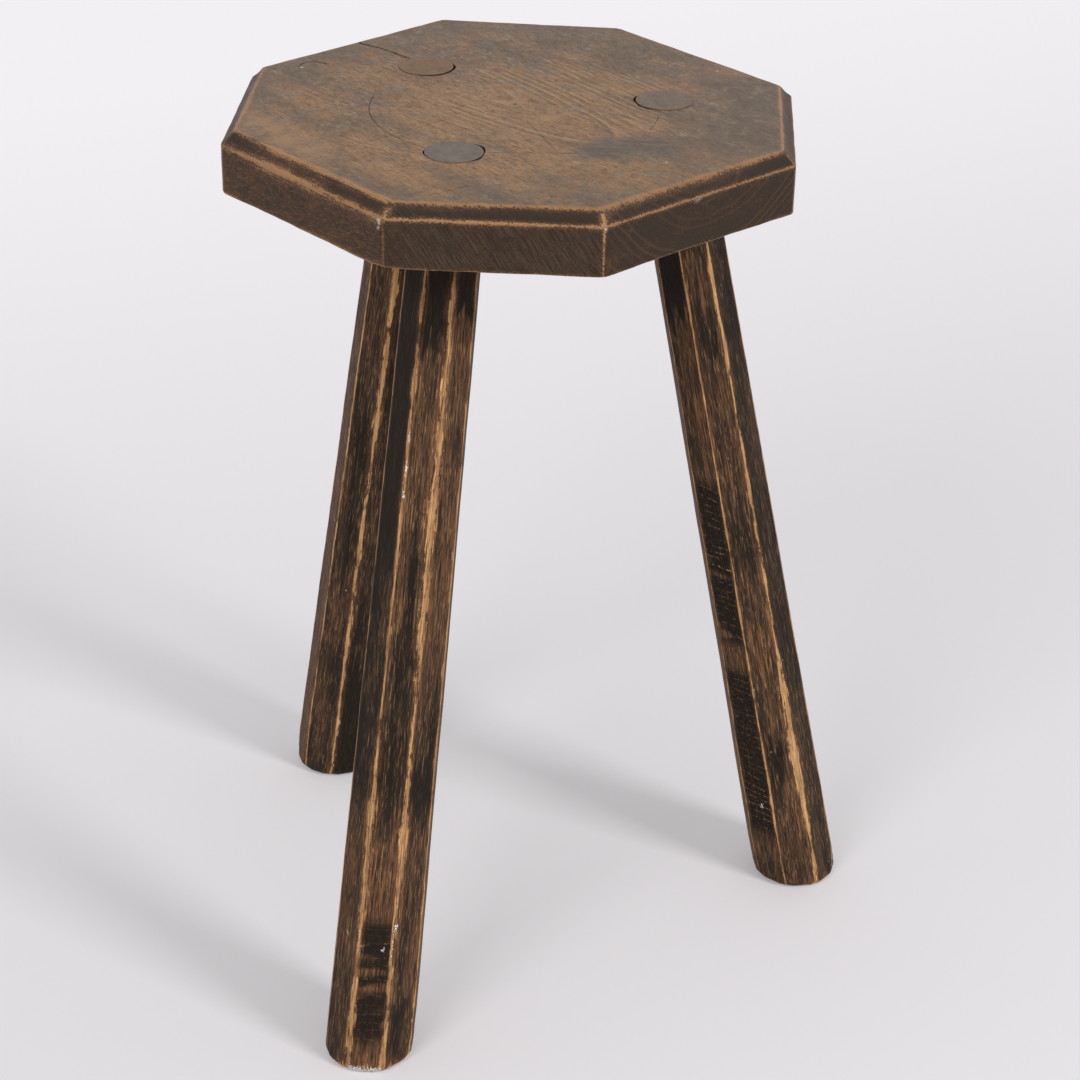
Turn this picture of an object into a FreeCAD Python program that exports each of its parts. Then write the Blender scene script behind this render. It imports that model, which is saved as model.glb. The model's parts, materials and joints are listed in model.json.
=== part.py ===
import FreeCAD
import Part
import math
import os

from FreeCAD import Placement, Rotation, Vector

# Milking stool: a plank seat cut to eight sides, standing on three splayed octagonal legs.
# Each leg ends in a round tenon that comes up through the seat and is trimmed flush with its top.
# Millimetres and degrees. +Z is up, the feet stand on z = 0 and the front of the seat faces -Y.

# Seat plank
SEAT_WIDTH = 280.0
SEAT_DEPTH = 280.0
SEAT_HEIGHT = 475.0
SEAT_THICKNESS = 31.5
CORNER_CUT = 89.0
BACK_SLANT = 5.0
EDGE_CHAMFER = 6.5
SEAT_ARRIS_ROUND = 1.5

# Legs, measured across their flats
LEG_SIDES = 8
LEG_TOP_WIDTH = 35.5
LEG_FOOT_WIDTH = 46.0
LEG_ARRIS_FLAT = 2.0
FOOT_BEVEL = 4.5
LEG_SPLAY = 11.5

# Round tenons and the sockets that hold them
TENON_DIAMETER = 28.5
GLUE_GAP = 0.1
SOCKET_CIRCLE_RADIUS = 75.0

# Where each leg stands round the seat, counted from +X, with the errors of hand boring:
# how far its socket lies off the circle, how far its lean differs from the common splay,
# how far the lean turns away from the socket's bearing, and the leg's turn about its own axis
LEGS = {
    "front_leg": dict(bearing=-110.2, off_circle=-4.2, extra_splay=-0.3, lean_turn=-3.1, twist=22.9),
    "right_leg": dict(bearing=13.8, off_circle=2.0, extra_splay=-0.1, lean_turn=-4.6, twist=1.4),
    "back_leg": dict(bearing=130.3, off_circle=2.3, extra_splay=-0.2, lean_turn=2.8, twist=-22.3),
}

# Heights and reaches that follow from the sizes above
UNDERSIDE = SEAT_HEIGHT - SEAT_THICKNESS
REACH = 2.0 * (SEAT_WIDTH + SEAT_DEPTH + SEAT_HEIGHT)


def slab(bottom, top):
    """A wide level block that trims a slanted piece between two heights."""
    corner = Vector(-REACH / 2, -REACH / 2, bottom)
    return Part.makeBox(REACH, REACH, top - bottom, corner)


def seat_corners(height):
    """The eight corners of the seat's plan, a rectangle with its corners cut off.

    The back edge was sawn a little out of square, so its left end lies further back.
    """
    x = SEAT_WIDTH / 2
    y = SEAT_DEPTH / 2
    plan = [
        (x - CORNER_CUT, -y), (x, -y + CORNER_CUT), (x, y - CORNER_CUT), (x - CORNER_CUT, y),
        (-x + CORNER_CUT, y + BACK_SLANT), (-x, y - CORNER_CUT),
        (-x, -y + CORNER_CUT), (-x + CORNER_CUT, -y),
    ]
    return [Vector(px, py, height) for px, py in plan]


def leg_placement(leg):
    """Put a leg's own frame at its socket: origin in the seat's top, own -Z running down to the foot."""
    distance = SOCKET_CIRCLE_RADIUS + leg["off_circle"]
    bearing = math.radians(leg["bearing"])
    socket = Vector(distance * math.cos(bearing), distance * math.sin(bearing), SEAT_HEIGHT)
    heading = Rotation(Vector(0, 0, 1), leg["bearing"] + leg["lean_turn"])
    lean = Rotation(Vector(0, 1, 0), -leg_splay(leg))
    twist = Rotation(Vector(0, 0, 1), leg["twist"])
    return Placement(socket, heading.multiply(lean).multiply(twist))


def leg_splay(leg):
    return LEG_SPLAY + leg["extra_splay"]


def leg_section(width, down):
    """The leg's octagon with each arris rubbed to a narrow flat, at a distance down the leg's axis."""
    half_angle = math.pi / LEG_SIDES
    # Taking a narrow flat off a corner shortens each of its two neighbours by this much
    trimmed = LEG_ARRIS_FLAT / 2 / math.cos(half_angle)
    half_side = width / 2 * math.tan(half_angle) - trimmed
    corners = []
    for side in range(LEG_SIDES):
        turn = Rotation(Vector(0, 0, 1), 360.0 * side / LEG_SIDES)
        corners.append(turn.multVec(Vector(width / 2, -half_side, -down)))
        corners.append(turn.multVec(Vector(width / 2, half_side, -down)))
    return Part.makePolygon(corners + corners[:1])


def tenon_rod(leg, diameter):
    """A round rod on the leg's axis, long enough to pass both faces of the seat."""
    beyond = SEAT_THICKNESS
    through = SEAT_THICKNESS / math.cos(math.radians(leg_splay(leg)))
    rod = Part.makeCylinder(diameter / 2, through + 2 * beyond, Vector(0, 0, -through - beyond))
    rod.Placement = leg_placement(leg)
    return rod


def make_leg(leg):
    slant = math.cos(math.radians(leg_splay(leg)))
    shoulder = SEAT_THICKNESS / slant
    floor = SEAT_HEIGHT / slant
    taper = (LEG_FOOT_WIDTH - LEG_TOP_WIDTH) / (floor - shoulder)
    # The blank runs past both ends, which are then cut level with the seat and the floor
    spare = LEG_FOOT_WIDTH
    upper = leg_section(LEG_TOP_WIDTH - taper * spare, shoulder - spare)
    lower = leg_section(LEG_FOOT_WIDTH + taper * spare, floor + spare)
    blank = Part.makeLoft([upper, lower], True, True)
    blank.Placement = leg_placement(leg)
    shaft = blank.common(slab(0, UNDERSIDE))
    # The edge that stands on the floor is bevelled all the way round
    floor_edges = [edge for edge in shaft.Edges if edge.BoundBox.ZMax < FOOT_BEVEL / 2]
    shaft = shaft.makeChamfer(FOOT_BEVEL, floor_edges)
    tenon = tenon_rod(leg, TENON_DIAMETER).common(slab(UNDERSIDE, SEAT_HEIGHT))
    return shaft.fuse(tenon).removeSplitter().Solids[0]


def chamfer_wedge(start, end):
    """What the chamfer takes off one side of the seat's upper edge, run past both ends of that side."""
    along = (end - start).normalize()
    overshoot = 2 * EDGE_CHAMFER
    corner = start - along * overshoot
    inward = Vector(-along.y, along.x, 0) * EDGE_CHAMFER
    upward = Vector(0, 0, EDGE_CHAMFER)
    section = [corner + inward * 2 + upward, corner - inward - upward * 2, corner - inward * 2 + upward * 2]
    length = start.distanceToPoint(end) + 2 * overshoot
    return Part.Face(Part.makePolygon(section + section[:1])).extrude(along * length)


def make_seat():
    outline = seat_corners(UNDERSIDE)
    plank = Part.Face(Part.makePolygon(outline + outline[:1])).extrude(Vector(0, 0, SEAT_THICKNESS))
    # The upright arrises and the lower edge are eased, and the upper edge is chamfered all round
    eased = [edge for edge in plank.Edges if edge.CenterOfMass.z < SEAT_HEIGHT - SEAT_ARRIS_ROUND]
    plank = plank.makeFillet(SEAT_ARRIS_ROUND, eased)
    rim = seat_corners(SEAT_HEIGHT)
    for start, end in zip(rim, rim[1:] + rim[:1]):
        plank = plank.cut(chamfer_wedge(start, end))
    for leg in LEGS.values():
        plank = plank.cut(tenon_rod(leg, TENON_DIAMETER + 2 * GLUE_GAP))
    return plank.Solids[0]


def main():
    pieces = {"seat": make_seat()}
    for name, leg in LEGS.items():
        pieces[name] = make_leg(leg)
    # The origin lies on the floor under the middle of the whole stool's outline
    box = Part.makeCompound(list(pieces.values())).optimalBoundingBox()
    to_origin = Vector(-box.Center.x, -box.Center.y, 0)
    os.makedirs("parts", exist_ok=True)
    for name, piece in pieces.items():
        piece.translate(to_origin)
        piece.exportStep(os.path.join("parts", name + ".step"))
        print(name, "valid" if piece.isValid() else "INVALID", round(piece.Volume / 1000, 1), "cm3")
    print("outline", round(box.XLength, 2), round(box.YLength, 2), round(box.ZLength, 2))
    print("seat centre", round(to_origin.x, 3), round(to_origin.y, 3))


main()
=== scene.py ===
import cmath
import json
import math
from collections import namedtuple

import bmesh
import bpy
import numpy as np
from bpy.props import FloatProperty, FloatVectorProperty, PointerProperty
from mathutils import Matrix, Vector, geometry
from mathutils import noise as solid_noise


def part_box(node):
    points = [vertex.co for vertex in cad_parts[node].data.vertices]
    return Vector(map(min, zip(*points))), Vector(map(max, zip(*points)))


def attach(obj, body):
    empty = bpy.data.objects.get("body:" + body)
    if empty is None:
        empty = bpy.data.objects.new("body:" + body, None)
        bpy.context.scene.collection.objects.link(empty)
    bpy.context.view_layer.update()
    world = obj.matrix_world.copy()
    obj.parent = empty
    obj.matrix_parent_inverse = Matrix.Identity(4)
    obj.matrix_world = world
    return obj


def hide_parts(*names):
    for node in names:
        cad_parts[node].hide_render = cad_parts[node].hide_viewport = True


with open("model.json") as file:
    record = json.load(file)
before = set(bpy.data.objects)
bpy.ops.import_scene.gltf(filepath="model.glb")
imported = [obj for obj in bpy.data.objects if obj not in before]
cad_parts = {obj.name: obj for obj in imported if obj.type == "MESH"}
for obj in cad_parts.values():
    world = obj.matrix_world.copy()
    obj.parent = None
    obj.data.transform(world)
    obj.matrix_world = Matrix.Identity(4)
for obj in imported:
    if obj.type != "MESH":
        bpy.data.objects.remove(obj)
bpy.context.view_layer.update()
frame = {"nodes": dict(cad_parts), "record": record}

bl_info = {
    "name": "Milking stool",
    "version": (1, 0, 0),
    "blender": (4, 5, 0),
    "location": "3D View > Sidebar > Stool",
    "description": "An old three-legged stool with an eight-sided plank seat, and a studio to show it in",
    "category": "Add Mesh",
}

# Metres throughout, with marks and small sizes written in millimetres times this
MM = 0.001
SIDES = 8
HALF_TURN = math.pi / SIDES
LEG_NAMES = ("front_leg", "right_leg", "back_leg")

# The middle of the seat's top is a mount; the back edge slants, and runs past the depth that it gives
SEAT_LOW, SEAT_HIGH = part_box("seat")
MOUNTS = {mount["name"]: Vector(mount["pos_m"]) for mount in frame["record"]["mounts"]}
SEAT_MIDDLE = MOUNTS["seat_top"]
SEAT_DEPTH = 2 * (SEAT_MIDDLE.y - SEAT_LOW.y)

# How wear has left each side of the seat, from the front round to the front left: how bare its upper,
# lower and under arrises are, how far the wear reaches from them in millimetres, how thin the stain
# of the side is, and how much end grain it shows
SideWear = namedtuple("SideWear", "bare reach thin end_grain")
SIDE_WEAR = (
    SideWear((0.65, 0.82, 0.60), (1.2, 0.8, 0.6), 0.09, 0.5),
    SideWear((0.58, 0.62, 0.50), (1.7, 0.6, 0.5), 0.07, 1.0),
    SideWear((0.70, 0.45, 0.30), (0.9, 0.6, 0.6), 0.24, 0.5),
    SideWear((0.50, 0.45, 0.30), (1.2, 0.8, 0.8), 0.34, 0.0),
    SideWear((0.50, 0.45, 0.30), (1.1, 0.8, 0.8), 0.28, 0.5),
    SideWear((0.50, 0.45, 0.30), (1.1, 0.8, 0.8), 0.24, 1.0),
    SideWear((0.70, 0.50, 0.35), (1.4, 1.0, 0.8), 0.36, 0.5),
    SideWear((0.85, 0.95, 0.65), (1.9, 1.9, 0.9), 0.30, 0.0),
)
# The same for the upright arris at the start of each side
UPRIGHT_BARE = (0.30, 1.0, 0.5, 0.4, 0.4, 0.4, 0.4, 0.5)
UPRIGHT_REACH = (0.5, 0.5, 0.5, 0.5, 0.5, 0.5, 0.5, 0.6)
# And for the hip of the chamfer above each of those arrises
HIP_BARE = (1.0, 1.0, 0.5, 0.4, 0.4, 0.4, 0.4, 0.4)
HIP_REACH = (1.8, 1.5, 0.7, 0.5, 0.5, 0.5, 0.5, 0.6)
# Stretches of the chamfer where the stain is still black: side, start and end along it, and strength,
# above 1 where it has run over the upper arris too
CHAMFER_STAIN = (
    (0, -0.05, 1.05, 0.72), (1, 0.72, 1.05, 1.0), (1, 0.03, 0.72, 0.30), (2, 0.05, 1.05, 0.3),
    (3, -0.05, 1.05, 0.6), (4, -0.05, 1.05, 0.6), (5, -0.05, 1.05, 0.6), (6, -0.05, 1.05, 0.6),
    (7, -0.05, 0.20, 1.5), (7, 0.20, 0.60, 0.60), (7, 0.60, 1.05, 0.85),
)

# Marks on top of the seat, in millimetres from its middle, +Y to the back
SCRIBED_RADIUS = 72.5
SCRIBED_ARCS = ((172.0, 236.0, 0.85), (-18.0, -5.0, 0.45))
KNIFE_LINES = (
    ((-74.0, -64.0), (-31.0, -19.0)), ((-8.0, -65.0), (34.0, -62.0)), ((-31.0, -126.0), (-12.0, -110.0)),
    ((37.0, -24.0), (23.0, -37.0)), ((8.0, -20.0), (24.0, -59.0)),
)
CRACK = ((-90.0, 95.0), (-86.6, 91.0), (-77.0, 85.5), (-68.0, 78.0), (-60.6, 71.4))
DENT = ((-115.0, 52.0), (-113.5, 57.0), (-109.5, 59.5), (-103.0, 57.0))
SMUDGE = ((46.0, -56.0), (57.0, -50.0), (71.0, -46.5))
SMUDGE_WIDTH = 12.5
HANDLED = ((-133.0, -33.0), (-119.0, -49.0), (-96.0, -77.0))
HANDLED_WIDTH = 13.0
NAIL_SPOT = (0.0, 6.0)
NAIL_SPOT_SIZE = 1.1

# Where each socket was bored wide: bearing of the gap, its width in millimetres, its spread in degrees
SOCKET_GAPS = {
    "front_leg": ((35.0, 1.7, 24.0), (95.0, 0.9, 42.0), (-32.0, 0.8, 14.0), (186.0, 0.6, 16.0)),
    "right_leg": ((172.0, 1.2, 20.0), (100.0, 0.8, 50.0), (215.0, 0.6, 9.0), (-35.0, 0.4, 9.0)),
    "back_leg": ((5.0, 1.1, 22.0), (-60.0, 0.7, 36.0)),
}
LEAST_GAP = 0.16
# Depth below the top of the lip, from where the socket wall is painted black as shade
SOCKET_LIP = 0.5
# How grey the end of each tenon is painted; the grey stands partly for painted sheen
TENON_GREY = {"front_leg": 1.0, "right_leg": 0.80, "back_leg": 0.45}

# How far the bare wood along the arrises of each leg is lifted towards pale gold, as a painted highlight
LEG_PAINTED_HIGHLIGHT = {"front_leg": 0.0, "right_leg": 0.25, "back_leg": 0.30}

# Side of a leg that the saw left rough, how far down the leg the marks start and end, how broken they
# are, and how much the ridges between the cuts are rubbed pale
SawMarks = namedtuple("SawMarks", "side start end broken rubbed")
SAW_MARKS = {
    "front_leg": SawMarks(1, 0.394, 0.470, 0.46, 0.45),
    "right_leg": SawMarks(5, 0.214, 0.454, 0.36, 1.0),
    "back_leg": SawMarks(7, 0.260, 0.330, 0.40, 0.5),
}
# How far wear reaches, in millimetres, from each arris of a leg, starting with the one before side 0
LEG_ARRIS_REACH = {
    "front_leg": (0.5, 1.0, 1.3, 1.0, 1.1, 1.1, 1.0, 1.0),
    "right_leg": (0.7, 1.1, 1.0, 1.1, 0.8, 0.45, 0.45, 0.8),
    "back_leg": (1.0, 1.1, 1.0, 0.6, 1.1, 0.8, 1.1, 1.0),
}
# How many times as far it reaches from the edge of each foot
FOOT_WEAR = {"front_leg": 2.5, "right_leg": 2.0, "back_leg": 0.5}
# Stretches where an arris is worn wider: its number, the millimetres down the leg, and the extra reach
LEG_FLAMES = {
    "front_leg": ((2, (95, 240), 1.5), (2, (330, 420), 0.8), (1, (320, 410), 1.0), (1, (420, 480), 1.0)),
    "right_leg": ((7, (330, 440), 1.5), (7, (120, 170), 0.4), (6, (405, 435), 0.5), (7, (462, 530), 0.7)),
    "back_leg": ((4, (90, 260), 0.5),),
}
# Stain that is thicker or thinner than elsewhere on a leg, and the tops of some sides, which are blacker just
# under
# the seat: its side, the millimetres down the leg where it starts and ends, its start and end across the
# side, and the change, below 0 blacker and above 0 barer
WHOLE = (-1.0, 2.0)
LEG_STAIN = {
    "front_leg": (
        (0, (20, 200), WHOLE, -0.80), (0, (200, 330), WHOLE, -0.25), (0, (330, 424), WHOLE, -0.05),
        (0, (424, 510), WHOLE, -0.25),
        (1, (20, 86), WHOLE, -1.20), (1, (100, 235), WHOLE, 0.12), (1, (235, 350), WHOLE, -0.10),
        (1, (355, 492), WHOLE, 0.75),
        (2, (20, 72), WHOLE, -1.20), (2, (80, 240), WHOLE, 0.28), (2, (130, 148), (0.45, 0.85), -0.5),
        (2, (245, 315), WHOLE, 0.22), (2, (308, 336), WHOLE, -0.5), (2, (352, 446), WHOLE, 0.10),
        (2, (446, 510), WHOLE, -0.35),
    ),
    "right_leg": (
        (4, (20, 490), WHOLE, 0.5), (5, (20, 112), WHOLE, -1.0), (5, (120, 210), WHOLE, 0.10),
        (5, (317, 342), WHOLE, 0.35), (6, (20, 80), WHOLE, -0.15), (6, (106, 140), (0.2, 0.8), -0.35),
        (6, (150, 330), WHOLE, 0.18), (6, (384, 408), (0.2, 0.65), -0.5), (6, (400, 450), (0.45, 1.2), 0.45),
        (6, (448, 510), WHOLE, -0.15), (5, (460, 510), WHOLE, -0.35), (7, (20, 510), WHOLE, -0.25),
    ),
    "back_leg": (
        (2, (20, 490), WHOLE, 0.4), (3, (20, 490), WHOLE, 0.02), (4, (20, 490), WHOLE, -0.22),
        (3, (380, 510), WHOLE, -0.30), (4, (400, 510), WHOLE, -0.45),
    ),
}
# Where saw marks are interrupted, given in the same way, and then where the wood is chipped pale
SAW_GAPS = {"front_leg": (), "right_leg": ((5, (318, 336), WHOLE),), "back_leg": ()}
LEG_CHIPS = {
    "front_leg": (
        (1, (133, 138), (-0.10, 0.05)), (1, (147, 154), (-0.10, 0.05)), (1, (162, 166), (-0.10, 0.05)),
        (1, (397, 420), (0.97, 1.0)), (2, (396, 400), (-0.05, 0.07)), (1, (410, 412), (0.70, 0.73)),
        (0, (406, 408), (0.49, 0.51)), (0, (400, 414), (0.98, 1.0)),
    ),
    "right_leg": ((5, (427, 430), (0.59, 0.63)),),
    "back_leg": (),
}


def length(title, words, value):
    """A size in metres that the sidebar can change."""
    return FloatProperty(name=title, description=words, default=value, unit="LENGTH")


def light_level(title, words, value):
    """A level of light that the sidebar can change."""
    return FloatProperty(
        name=title, description=words, default=value, subtype="FACTOR", min=0.0, soft_max=1.0)


def colour(title, words, value):
    """A colour that the sidebar can change."""
    return FloatVectorProperty(
        name=title, description=words, default=value, size=3, subtype="COLOR", min=0.0, max=1.0)


class SeatSizes(bpy.types.PropertyGroup):
    """Sizes of the plank seat."""

    width: length("Width", "Across the seat from left to right", SEAT_HIGH.x - SEAT_LOW.x)
    depth: length("Depth", "Across the seat from front to back", SEAT_DEPTH)
    back_slant: length(
        "Back slant", "How much further back the left end of the back edge lies",
        SEAT_HIGH.y - SEAT_LOW.y - SEAT_DEPTH)
    thickness: length("Thickness", "Thickness of the plank", SEAT_HIGH.z - SEAT_LOW.z)
    corner_cut: length("Corner cut", "Length sawn off each corner along both edges", 0.089)
    chamfer: length("Chamfer", "What is planed off the upper edge, along the top and down the sides", 0.0065)
    chamfer_hollow: length("Chamfer hollow", "How far the plane has dished the chamfer", 0.00025)
    upper_easing: length("Upper easing", "Wear of the arris between the top and the chamfer", 0.0032)
    lower_easing: length("Lower easing", "Wear of the arris between the chamfer and the side", 0.0020)
    under_easing: length("Under easing", "Wear of the edge under the seat", 0.0012)
    upright_easing: length("Upright easing", "Wear of the eight upright arrises", 0.0013)
    dishing: length("Dishing", "How far sitting has hollowed the middle of the top", 0.0006)


class LegSizes(bpy.types.PropertyGroup):
    """Sizes that the three legs share."""

    top_width: length("Top width", "Across the flats under the seat", 0.0355)
    foot_width: length("Foot width", "Across the flats at the floor", 0.046)
    tenon: length("Tenon", "Diameter of the round tenon", 0.0285)
    arris: length("Arris wear", "How far wear reaches onto a side from its arris", 0.0011)
    foot_round: length("Foot rounding", "Rounding of the edge that stands on the floor", 0.0045)
    unevenness: length("Unevenness", "How far the hand-planed sides wander", 0.00045)


class StoolColours(bpy.types.PropertyGroup):
    """Colours of the wood, its stain and its wear."""

    top_warm: colour("Worn top", "Wood in the middle of the seat, rubbed clean", (0.280, 0.144, 0.056))
    top_dull: colour("Dull top", "Wood near the rim of the seat, dulled by dirt", (0.140, 0.093, 0.051))
    top_pale: colour("Pale grain", "Early wood, rubbed pale, on top of the seat", (0.40, 0.245, 0.120))
    top_line: colour("Dark grain", "Late wood and pores on top of the seat", (0.050, 0.031, 0.018))
    # Grey that is partly painted sheen on the ends of the tenons
    tenon_end: colour("Tenon end", "End grain of the tenons", (0.205, 0.172, 0.145))
    smudge: colour("Smudge", "Dark smear on the right of the seat", (0.070, 0.058, 0.045))
    stain: colour("Seat stain", "Dark stain on the sides and the chamfer", (0.025, 0.016, 0.009))
    stain_thin: colour("Seat stain, thin", "Where the stain of the sides has thinned", (0.112, 0.050, 0.021))
    bare: colour("Bare arris", "Wood that shows where an arris is rubbed through", (0.48, 0.278, 0.127))
    # Also painted as shade on the socket walls and down the sides of the tenons
    leg_black: colour("Leg stain", "Thickest stain on the legs", (0.020, 0.0142, 0.0106))
    leg_brown: colour("Leg brown", "Thinner stain on the legs", (0.080, 0.049, 0.031))
    leg_rust: colour("Leg rust", "Rubbed wood on the legs", (0.240, 0.112, 0.055))
    leg_gold: colour("Leg gold", "Bare wood along the arrises of the legs", (0.74, 0.412, 0.176))
    # Pale gold painted over the bare arrises of the right and back legs as a highlight
    leg_painted_highlight: colour("Bleached gold", "Bare wood that has bleached", (0.92, 0.56, 0.25))
    pale: colour("Pale marks", "Chips, specks and dry scratches", (0.85, 0.83, 0.78))


class StudioLook(bpy.types.PropertyGroup):
    """Floor and light of the studio."""

    floor: colour("Floor", "Paper floor", (0.66, 0.64, 0.66))
    backdrop: colour("Backdrop", "Paper that the camera sees far behind the stool", (0.87, 0.85, 0.88))
    near_glow: light_level("Near glow", "How much lighter the camera sees the paper by the stool", 0.165)
    far_glow: light_level("Far glow", "How much lighter the camera sees the paper at the back", 0.52)
    key_level: light_level("Key light", "Brightness of the light from the front right", 0.44)
    fill_level: light_level("Second light", "Brightness of the light from the front left", 0.27)
    sky_level: light_level("Room light", "Brightness of the even light all round", 0.54)


# Node building


class Wire:
    """A node's output that works in sums, so that a node tree reads as the formula it stands for."""

    def __init__(self, socket):
        self.socket = socket
        self.tree = socket.id_data

    def calc(self, operation, *others):
        """A Math node, or a Vector Math node where this wire carries a vector."""
        is_vector = self.socket.type == "VECTOR"
        kind = "ShaderNodeVectorMath" if is_vector else "ShaderNodeMath"
        made = add_node(self.tree, kind, enumerate((self, *others)), operation=operation)
        return Wire(made.outputs["Value" if operation in ("DOT_PRODUCT", "LENGTH") else 0])

    def __add__(self, other):
        return self.calc("ADD", other)

    __radd__ = __add__

    def __sub__(self, other):
        return self.calc("SUBTRACT", other)

    def __rsub__(self, other):
        return self * -1.0 + other

    def __mul__(self, other):
        if self.socket.type == "VECTOR":
            made = add_node(self.tree, "ShaderNodeVectorMath", {0: self, "Scale": other}, operation="SCALE")
            return Wire(made.outputs[0])
        return self.calc("MULTIPLY", other)

    __rmul__ = __mul__

    def __truediv__(self, other):
        return self.calc("DIVIDE", other)

    def clamped(self):
        made = add_node(self.tree, "ShaderNodeClamp", {0: self})
        return Wire(made.outputs[0])

    def rise(self, low, high):
        """0 up to one value and 1 from another, with a smooth rise between them."""
        made = add_node(
            self.tree, "ShaderNodeMapRange", {0: self, 1: low, 2: high}, interpolation_type="SMOOTHSTEP")
        return Wire(made.outputs[0])

    def parts(self):
        """The three parts of a vector."""
        made = add_node(self.tree, "ShaderNodeSeparateXYZ", {0: self})
        return [Wire(output) for output in made.outputs]


def feed(socket, value):
    """Give an input socket a wire or a plain value."""
    if isinstance(value, Wire):
        socket.id_data.links.new(value.socket, socket)
    else:
        socket.default_value = value


def add_node(tree, kind, inputs=(), **options):
    """Add a node, set its options and feed its inputs, which go by name or by number."""
    made = tree.nodes.new(kind)
    for option, value in options.items():
        setattr(made, option, value)
    for key, value in dict(inputs).items():
        feed(made.inputs[key], value)
    return made


def vector(x, y, z):
    tree = next(part.tree for part in (x, y, z) if isinstance(part, Wire))
    return Wire(add_node(tree, "ShaderNodeCombineXYZ", {0: x, 1: y, 2: z}).outputs[0])


def reach_of(first, second):
    """The length of a line from its two parts at right angles."""
    return vector(first, second, 0.0).calc("LENGTH")


def cloud(place, across, along, detail=2.0, roughness=0.5):
    """Uneven swells from 0 to 1: so many to the metre across the grain, and so many along it."""
    stretched = place.calc("MULTIPLY", (across, across, along))
    made = add_node(place.tree, "ShaderNodeTexNoise", {
        "Vector": stretched, "Scale": 1.0, "Detail": detail, "Roughness": roughness})
    return Wire(made.outputs[0])


def mix(share, first, second):
    """A colour on the way from the first to the second."""
    colours = [shade if isinstance(shade, Wire) else (*shade, 1.0) for shade in (first, second)]
    made = add_node(share.tree, "ShaderNodeMix", {0: share, 6: colours[0], 7: colours[1]}, data_type="RGBA")
    return Wire(made.outputs[2])


def coats(base, *layers):
    """Lay colours over a base one after another, each by its own share."""
    for share, coat in layers:
        base = mix(share, base, coat)
    return base


def attribute(tree, name, output="Fac"):
    """A value that the piece's own mesh carries at each point."""
    return Wire(add_node(tree, "ShaderNodeAttribute", attribute_name=name).outputs[output])


def start_group(name, kind, inputs, outputs):
    """A new node group with named sockets: its tree, its inputs as wires, and its output node."""
    tree = bpy.data.node_groups.new(name, kind)
    for title, socket_type in inputs.items():
        tree.interface.new_socket(title, in_out="INPUT", socket_type=socket_type)
    for title, socket_type in outputs.items():
        tree.interface.new_socket(title, in_out="OUTPUT", socket_type=socket_type)
    entry = tree.nodes.new("NodeGroupInput")
    wires = {title: Wire(entry.outputs[title]) for title in inputs}
    return tree, wires, tree.nodes.new("NodeGroupOutput")


def use_group(tree, name, inputs):
    """Place a shared effect in a material, and give its outputs by name."""
    made = add_node(tree, "ShaderNodeGroup", inputs, node_tree=bpy.data.node_groups[name])
    return {output.name: Wire(output) for output in made.outputs}


# Effects that both woods share. In each, Place has the fibres running along its third part.


def build_fibres_group():
    """Streaks, broad bands, dark pores and pale flecks, all running along the fibres."""
    _, given, result = start_group(
        "wood_fibres", "ShaderNodeTree",
        {"Place": "NodeSocketVector"},
        {name: "NodeSocketFloat" for name in ("Streak", "Band", "Pores", "Flecks")})
    place = given["Place"]
    feed(result.inputs["Streak"], cloud(place, 850.0, 40.0, 4.0, 0.65).rise(0.37, 0.63))
    feed(result.inputs["Band"], cloud(place, 200.0, 9.0, 3.0, 0.6).rise(0.36, 0.64))
    feed(result.inputs["Pores"], cloud(place, 1300.0, 110.0, 2.0).rise(0.56, 0.66))
    feed(result.inputs["Flecks"], cloud(place, 2200.0, 100.0, 2.0, 0.6).rise(0.58, 0.66))


def build_arris_group():
    """Wood rubbed through along an arris: a soft worn margin, with a ragged bare strip inside it."""
    _, given, result = start_group(
        "worn_arris", "ShaderNodeTree",
        {name: "NodeSocketVector" if name == "Place" else "NodeSocketFloat"
         for name in ("Place", "Distance", "Reach", "Softness", "Grit")},
        {"Margin": "NodeSocketFloat", "Bare": "NodeSocketFloat"})
    place, distance, reach = given["Place"], given["Distance"], given["Reach"]
    swell = ((cloud(place, 34.0, 34.0, 4.0, 0.7) - 0.28) * 3.4).calc("MAXIMUM", 0.15)
    torn = cloud(place, 950.0, 60.0, 4.0, 0.65) - 0.5
    nicked = cloud(place, 520.0, 260.0, 2.0, 0.6) - 0.5
    gritty = (cloud(place, 1900.0, 1300.0, 2.0, 0.6) - 0.5) * given["Grit"]
    edge = reach * swell
    soft = given["Softness"]
    ragged = distance + (torn * 4.6 + nicked * 1.2 + gritty) * reach
    bare = ragged.rise(edge * (1.0 + soft), edge * (1.0 - soft))
    margin = (distance + (torn * 5.0 + gritty * 2.0) * reach).rise(edge * 2.6 + reach, reach * 0.2)
    feed(result.inputs["Margin"], margin)
    feed(result.inputs["Bare"], bare)


def build_specks_group():
    """Small pale specks of dust and chipped finish."""
    tree, given, result = start_group(
        "pale_specks", "ShaderNodeTree",
        {"Place": "NodeSocketVector", "Amount": "NodeSocketFloat"},
        {"Speck": "NodeSocketFloat"})
    stretched = given["Place"].calc("MULTIPLY", (260.0, 260.0, 190.0))
    cells = add_node(tree, "ShaderNodeTexVoronoi", {"Vector": stretched, "Scale": 1.0})
    chance = Wire(cells.outputs["Color"]).parts()[0]
    near = Wire(cells.outputs["Distance"]).rise(0.15, 0.05)
    feed(result.inputs["Speck"], near * chance.rise(1.0 - given["Amount"], 1.0))


def start_material(name):
    made = bpy.data.materials.new(name)
    made.use_nodes = True
    return made, made.node_tree, made.node_tree.nodes["Principled BSDF"]


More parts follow.
